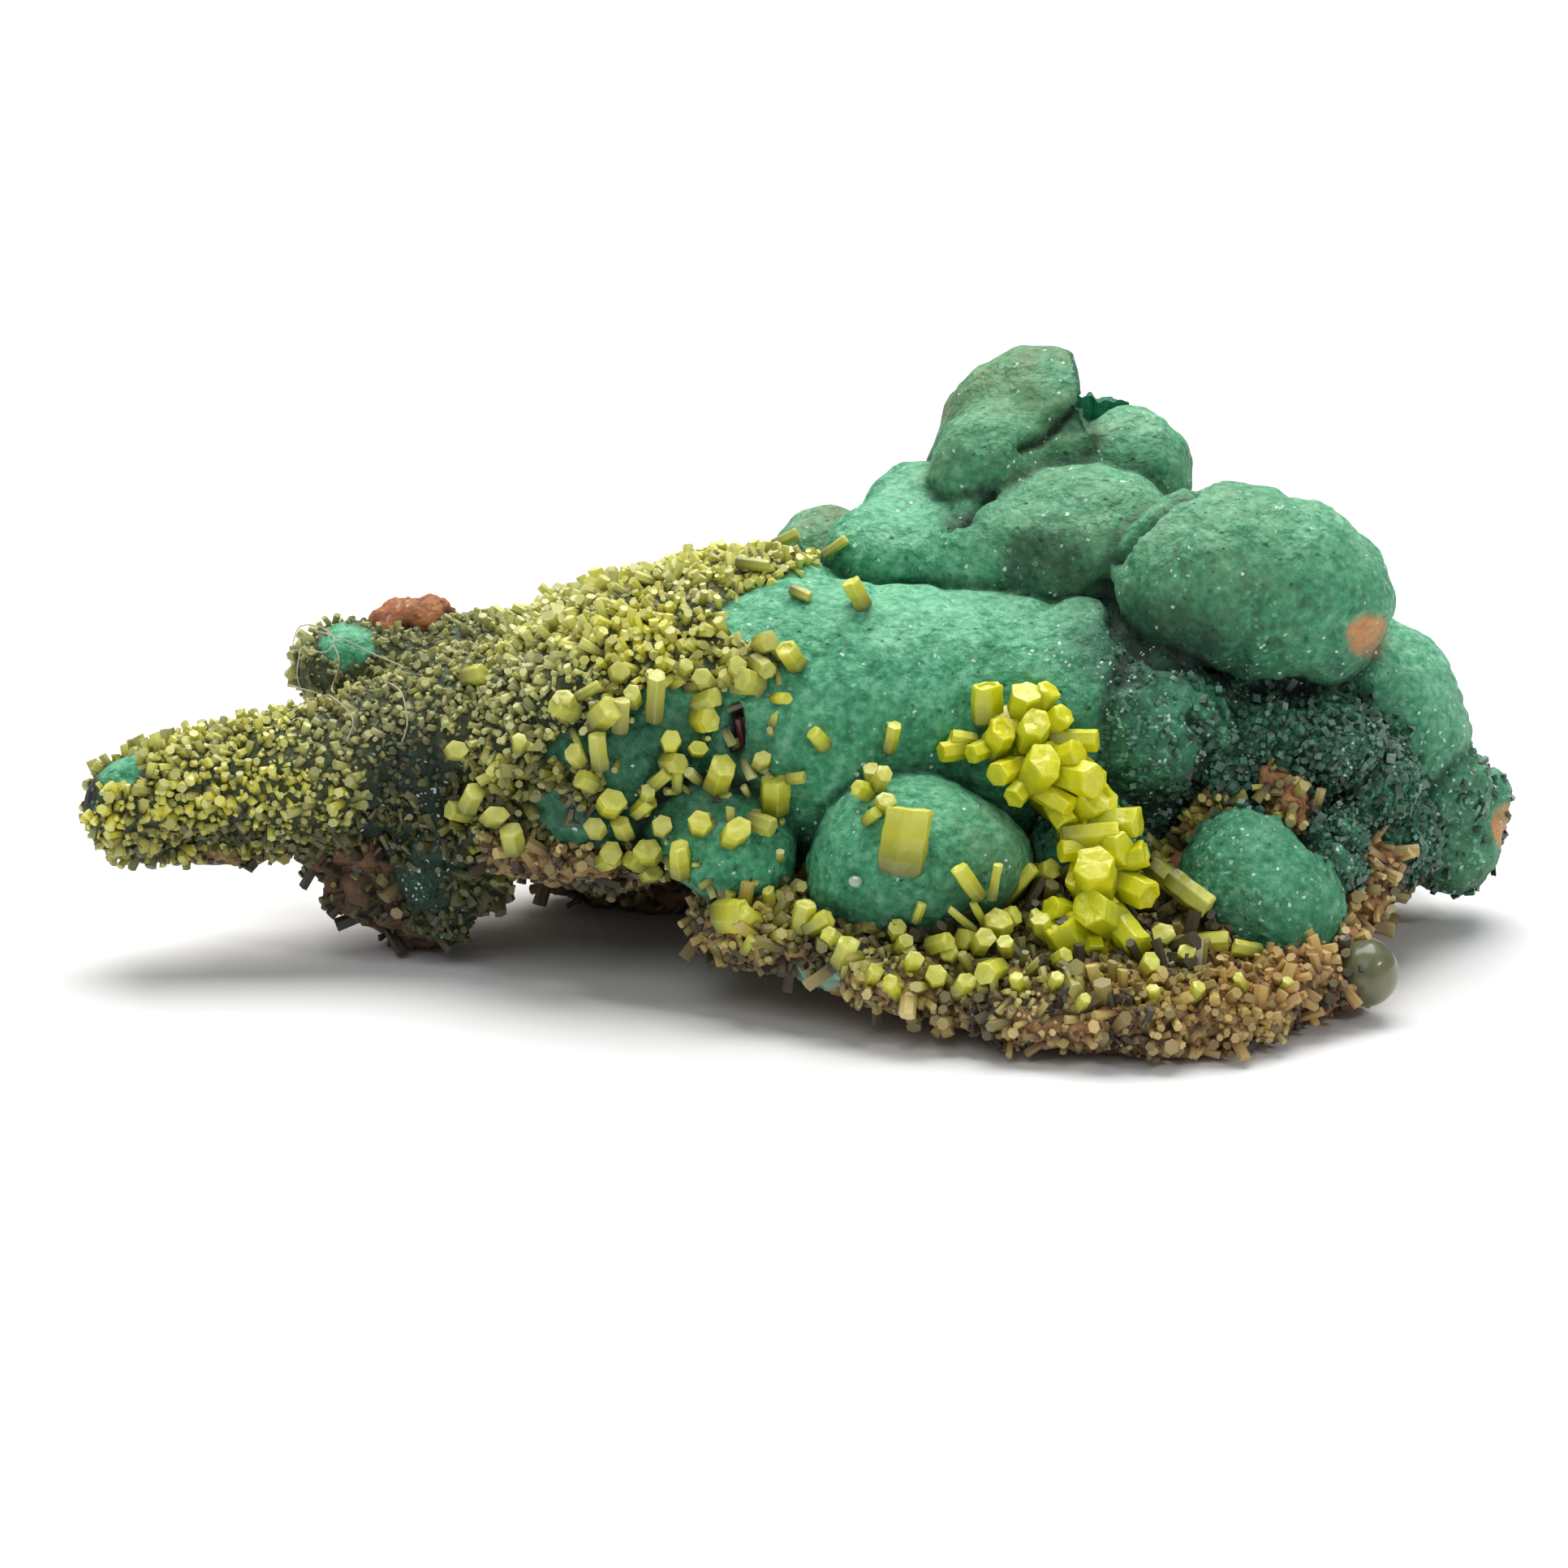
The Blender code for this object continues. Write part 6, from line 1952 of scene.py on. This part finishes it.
@dataclass
class LargeCrystals:
    """The bright spray, the pair beside it and every crystal that stands alone."""

    top: tuple[float, float] = (850.0, -6.2)
    foot: tuple[float, float] = (1210.0, -12.4)
    wear: float = 0.1
    facing_share: float = 0.75
    hollow_share: float = 0.3
    single_hollow_share: float = 0.15
    spray_seeds: tuple[int, int] = (151, 152)
    pair_seeds: tuple[int, int] = (153, 154)
    single_seeds: tuple[int, int] = (160, 180)

    def spray_seat(self, crystal: Crystal) -> Array:
        """A place on a curtain that runs down and forwards: its depth is a straight line down the picture."""
        share = (crystal.seen_y - self.top[0]) / (self.foot[0] - self.top[0])
        depth = self.top[1] + (self.foot[1] - self.top[1]) * share
        line = SIGHT.line(crystal.seen_x, crystal.seen_y)
        return SIGHT.eye + line * ((depth - SIGHT.eye[1]) / line[1] - crystal.lift)

    def shape(self, prisms: Prisms, hopper_share: float, seed: int) -> Surface:
        """Chamfered columns, a share of them with a hollow end."""
        hollow = np.random.default_rng(seed).uniform(0, 1, len(prisms.widths)) < hopper_share
        parts = [(Profile.HOPPER, hollow), (Profile.SOLID, ~hollow)]
        return joined(
            prisms.only(kept).surface(profile, side_shares=WORN_SIDES, wear=self.wear)
            for profile, kept in parts
            if kept.any()
        )

    def dress(self, ground: Ground) -> None:
        """Builds all of them and puts them in the scene."""
        lime, moss = SPRAY_FINISH.material(), bpy.data.materials[SINGLE_FINISH.name]
        turned = [crystal._replace(facing=crystal.facing * self.facing_share) for crystal in SPRAY]
        spray = ground.grown(turned, self.spray_seeds[0], 0.5, 0.5)
        spray.middles = np.array([self.spray_seat(crystal) for crystal in SPRAY])
        shape = self.shape(spray, self.hollow_share, self.spray_seeds[1])
        piece("spray", shape, lime, ["pyromorphite_spray"], smooth=False)
        pair = ground.grown(PAIR, self.pair_seeds[0], 0.5)
        shape = self.shape(pair, 0.0, self.pair_seeds[1])
        piece("pair", shape, moss, ["pyromorphite_pair"], smooth=False)
        for number, (node, crystal) in enumerate(SINGLE_CRYSTALS.items()):
            single = ground.grown([crystal], self.single_seeds[0] + number, 0.85, 0.15)
            share = 1.0 if node == "crystal_hollow" else self.single_hollow_share
            shape = self.shape(single, share, self.single_seeds[1] + number)
            piece(f"{node}_faceted", shape, moss, [node], smooth=False)


@dataclass
class BrokenPlate:
    """A vivid green splinter that stands in the crown's break: a slab with a jagged top."""

    left: float = 12.1
    right: float = 14.5
    front: float = 6.9
    back: float = 8.1
    foot: float = 18.9
    top: float = 21.75
    fall: float = 0.12
    jag: float = 0.22
    columns: int = 26

    def dress(self) -> None:
        """A loop of four rows, two of them on the jagged top line, carried from left to right."""
        across = np.linspace(self.left, self.right, self.columns)
        level = self.top - self.fall * (across - self.left)
        loop = []
        rows = ((self.front, False), (self.front, True), (self.back, True), (self.back, False))
        for row, (depth, on_top) in enumerate(rows):
            line = np.stack((across, np.full_like(across, depth), np.full_like(across, self.foot)), axis=1)
            if on_top:
                line[:, 2] = level + self.jag * value_noise(line * (1.0, 3.0, 1.0), 0.3, 71 + row)
                line[:, 1] += 0.2 * value_noise(line, 0.4, 73)
            loop.append(line)
        points = np.stack(loop, axis=1).reshape(-1, 3)
        grid, sides = band(self.columns, len(loop), flipped=True)
        surface = Surface(points, [sides, np.stack((grid[0], grid[-1, ::-1]))])
        piece("broken_plate", surface, PLATE_FINISH.material(), smooth=False)


class Trifles:
    """Small things on the malachite: the shard in its pit, the milky bubble and the lint on the arm."""

    SHARD = Crystal(903, 905, 0.42, 1.5, 100, 25, 0.25)
    SHARD_SEED = 191
    BUBBLE = (1055, 1086)
    BUBBLE_LIFT = 0.08
    BUBBLE_RADII = (0.28, 0.28, 0.24)
    LINT_RADIUS, LINT_LIFT, LINT_WAVE = 0.03, 0.6, 0.2
    LINT = (
        ((374, 806), (384, 790), (402, 784), (414, 794), (408, 808), (392, 808)),
        ((398, 790), (430, 798), (465, 812), (500, 832)),
        ((384, 806), (386, 832), (390, 860), (388, 884)),
        ((402, 852), (425, 872), (440, 890), (436, 915)),
        ((486, 850), (500, 870), (508, 895), (500, 915)),
        ((415, 800), (420, 820), (414, 840), (420, 862)),
        ((372, 838), (396, 838), (424, 850), (470, 850)),
    )

    @staticmethod
    def tube(path: Array, radius: float, around: int = 5, steps: int = 9) -> Surface:
        """A closed thin tube: a circle carried along a smooth curve through points.

        Args:
            path: The points, in millimetres.
            radius: The circle's radius.
            around: How many corners the circle has.
            steps: How many circles each stretch has.

        Returns:
            The surface.
        """
        ends = np.concatenate((path[:1], path, path[-1:]))
        share = np.linspace(0.0, 1.0, steps, endpoint=False)[None, :, None]
        p0, p1, p2, p3 = (ends[i : len(ends) - 3 + i, None] for i in range(4))
        bend, twist = 2 * p0 - 5 * p1 + 4 * p2 - p3, 3 * p1 - p0 - 3 * p2 + p3
        curve = 0.5 * (2 * p1 + (p2 - p0) * share + bend * share**2 + twist * share**3)
        line = np.concatenate((curve.reshape(-1, 3), path[-1:]))
        ahead = unit(np.gradient(line, axis=0))
        first = unit(np.cross(ahead, [[0.1, 0.2, 1.0]]))
        second = np.cross(ahead, first)
        turns = np.arange(around) * math.tau / around
        ring = first[:, None] * np.cos(turns)[None, :, None] + second[:, None] * np.sin(turns)[None, :, None]
        points = line[:, None] + ring * radius
        grid, sides = band(len(line), around)
        return Surface(points.reshape(-1, 3), [sides, np.stack((grid[0, ::-1], grid[-1]))])

    def dress(self, ground: Ground) -> None:
        """Builds them and puts them in the scene."""
        shard = ground.grown([self.SHARD], self.SHARD_SEED, 0.5)
        shape = shard.surface(Profile.SOLID)
        piece("pit_shard", shape, SHARD_FINISH.material(), smooth=False)
        place, normal = ground.hit(*self.BUBBLE)
        bubble = ellipsoid(Lobe(*(place + normal * self.BUBBLE_LIFT), *self.BUBBLE_RADII), 16, 24)
        piece("milky_bubble", bubble, BUBBLE_FINISH.material())
        strands = []
        for route in self.LINT:
            path, (far, _) = [], ground.hit(*route[-1])
            for step, pixel in enumerate(route):
                line = SIGHT.line(*pixel)
                place, normal, _, _ = ground.tree.ray_cast(Vector(SIGHT.eye), Vector(line))
                if place is None:
                    place, normal = SIGHT.eye + line * np.linalg.norm(far - SIGHT.eye), -SIGHT.ahead
                lift = self.LINT_LIFT + self.LINT_WAVE * math.sin(step * 1.7)
                path.append(np.array(place) + np.array(normal) * lift)
            strands.append(self.tube(np.array(path), self.LINT_RADIUS))
        piece("lint", joined(strands), LINT_FINISH.material())


@dataclass
class Studio:
    """The plain pale floor and the lights: a soft key above and behind, a front fill and a small spark."""

    floor_size: float = 4.0
    floor_gap: float = 0.01
    world: float = 0.19
    key_power: float = 2.75
    key_size: float = 0.4
    key_place: tuple[float, float, float] = (0.0, 0.16, 0.4)
    fill_power: float = 0.46
    fill_size: float = 0.3
    fill_place: tuple[float, float, float] = (-0.12, -0.36, 0.42)
    spark_power: float = 0.22
    spark_size: float = 0.04
    spark_place: tuple[float, float, float] = (0.26, -0.2, 0.24)

    def add_floor(self) -> None:
        """A flat square on the ground."""
        side, z = self.floor_size / 2.0 / MM, -self.floor_gap
        corners = np.array(((-side, -side, z), (side, -side, z), (side, side, z), (-side, side, z)))
        square = Surface(corners, [np.array([[0, 1, 2, 3]])])
        floor = bpy.data.objects.new("floor", square.mesh("floor", False))
        floor.data.materials.append(FLOOR_FINISH.material())
        bpy.context.scene.collection.objects.link(floor)

    @staticmethod
    def add_light(
        name: str, place: tuple[float, float, float], power: float, size: float, colour: tuple
    ) -> None:
        """A square soft light that faces the specimen."""
        lamp = bpy.data.lights.new(name, "AREA")
        lamp.energy, lamp.size, lamp.color = power, size, colour
        obj = bpy.data.objects.new(name, lamp)
        obj.location = place
        obj.rotation_euler = (Vector(LIT_PLACE) - Vector(place)).to_track_quat("-Z", "Y").to_euler()
        bpy.context.scene.collection.objects.link(obj)

    def build(self) -> None:
        """Puts floor, lights and surroundings in the scene."""
        self.add_floor()
        self.add_light("key", self.key_place, self.key_power, self.key_size, WARM)
        self.add_light("fill", self.fill_place, self.fill_power, self.fill_size, COOL)
        self.add_light("spark", self.spark_place, self.spark_power, self.spark_size, WHITE)
        world = bpy.data.worlds.new("soft room")
        world.use_nodes = True
        backdrop = world.node_tree.nodes["Background"]
        backdrop.inputs["Color"].default_value = (*COOL, 1.0)
        backdrop.inputs["Strength"].default_value = self.world
        bpy.context.scene.world = world
        bpy.context.scene.view_settings.view_transform = "Standard"
        bpy.context.scene.view_settings.look = "None"


def main() -> None:
    """Builds the specimen piece by piece, in the order in which one grows on another."""
    logging.basicConfig(level=logging.INFO, format="%(name)s: %(message)s")
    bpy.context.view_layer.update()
    SIGHT.add_camera()
    Studio().build()
    mass_maker, rock_maker = MalachiteMass(), LimoniteRock()
    mass, rock = mass_maker.build(), rock_maker.build()
    mass_maker.dress(mass)
    rock_maker.dress(rock)
    OliveBead().dress()
    ground = Ground([mass, rock])
    Druse().dress(mass, ground)
    RimCrust().dress(rock, ground)
    KnobCrystals().dress(mass)
    LargeCrystals().dress(ground)
    BrokenPlate().dress()
    Trifles().dress(ground)


if __name__ == "__main__":
    main()
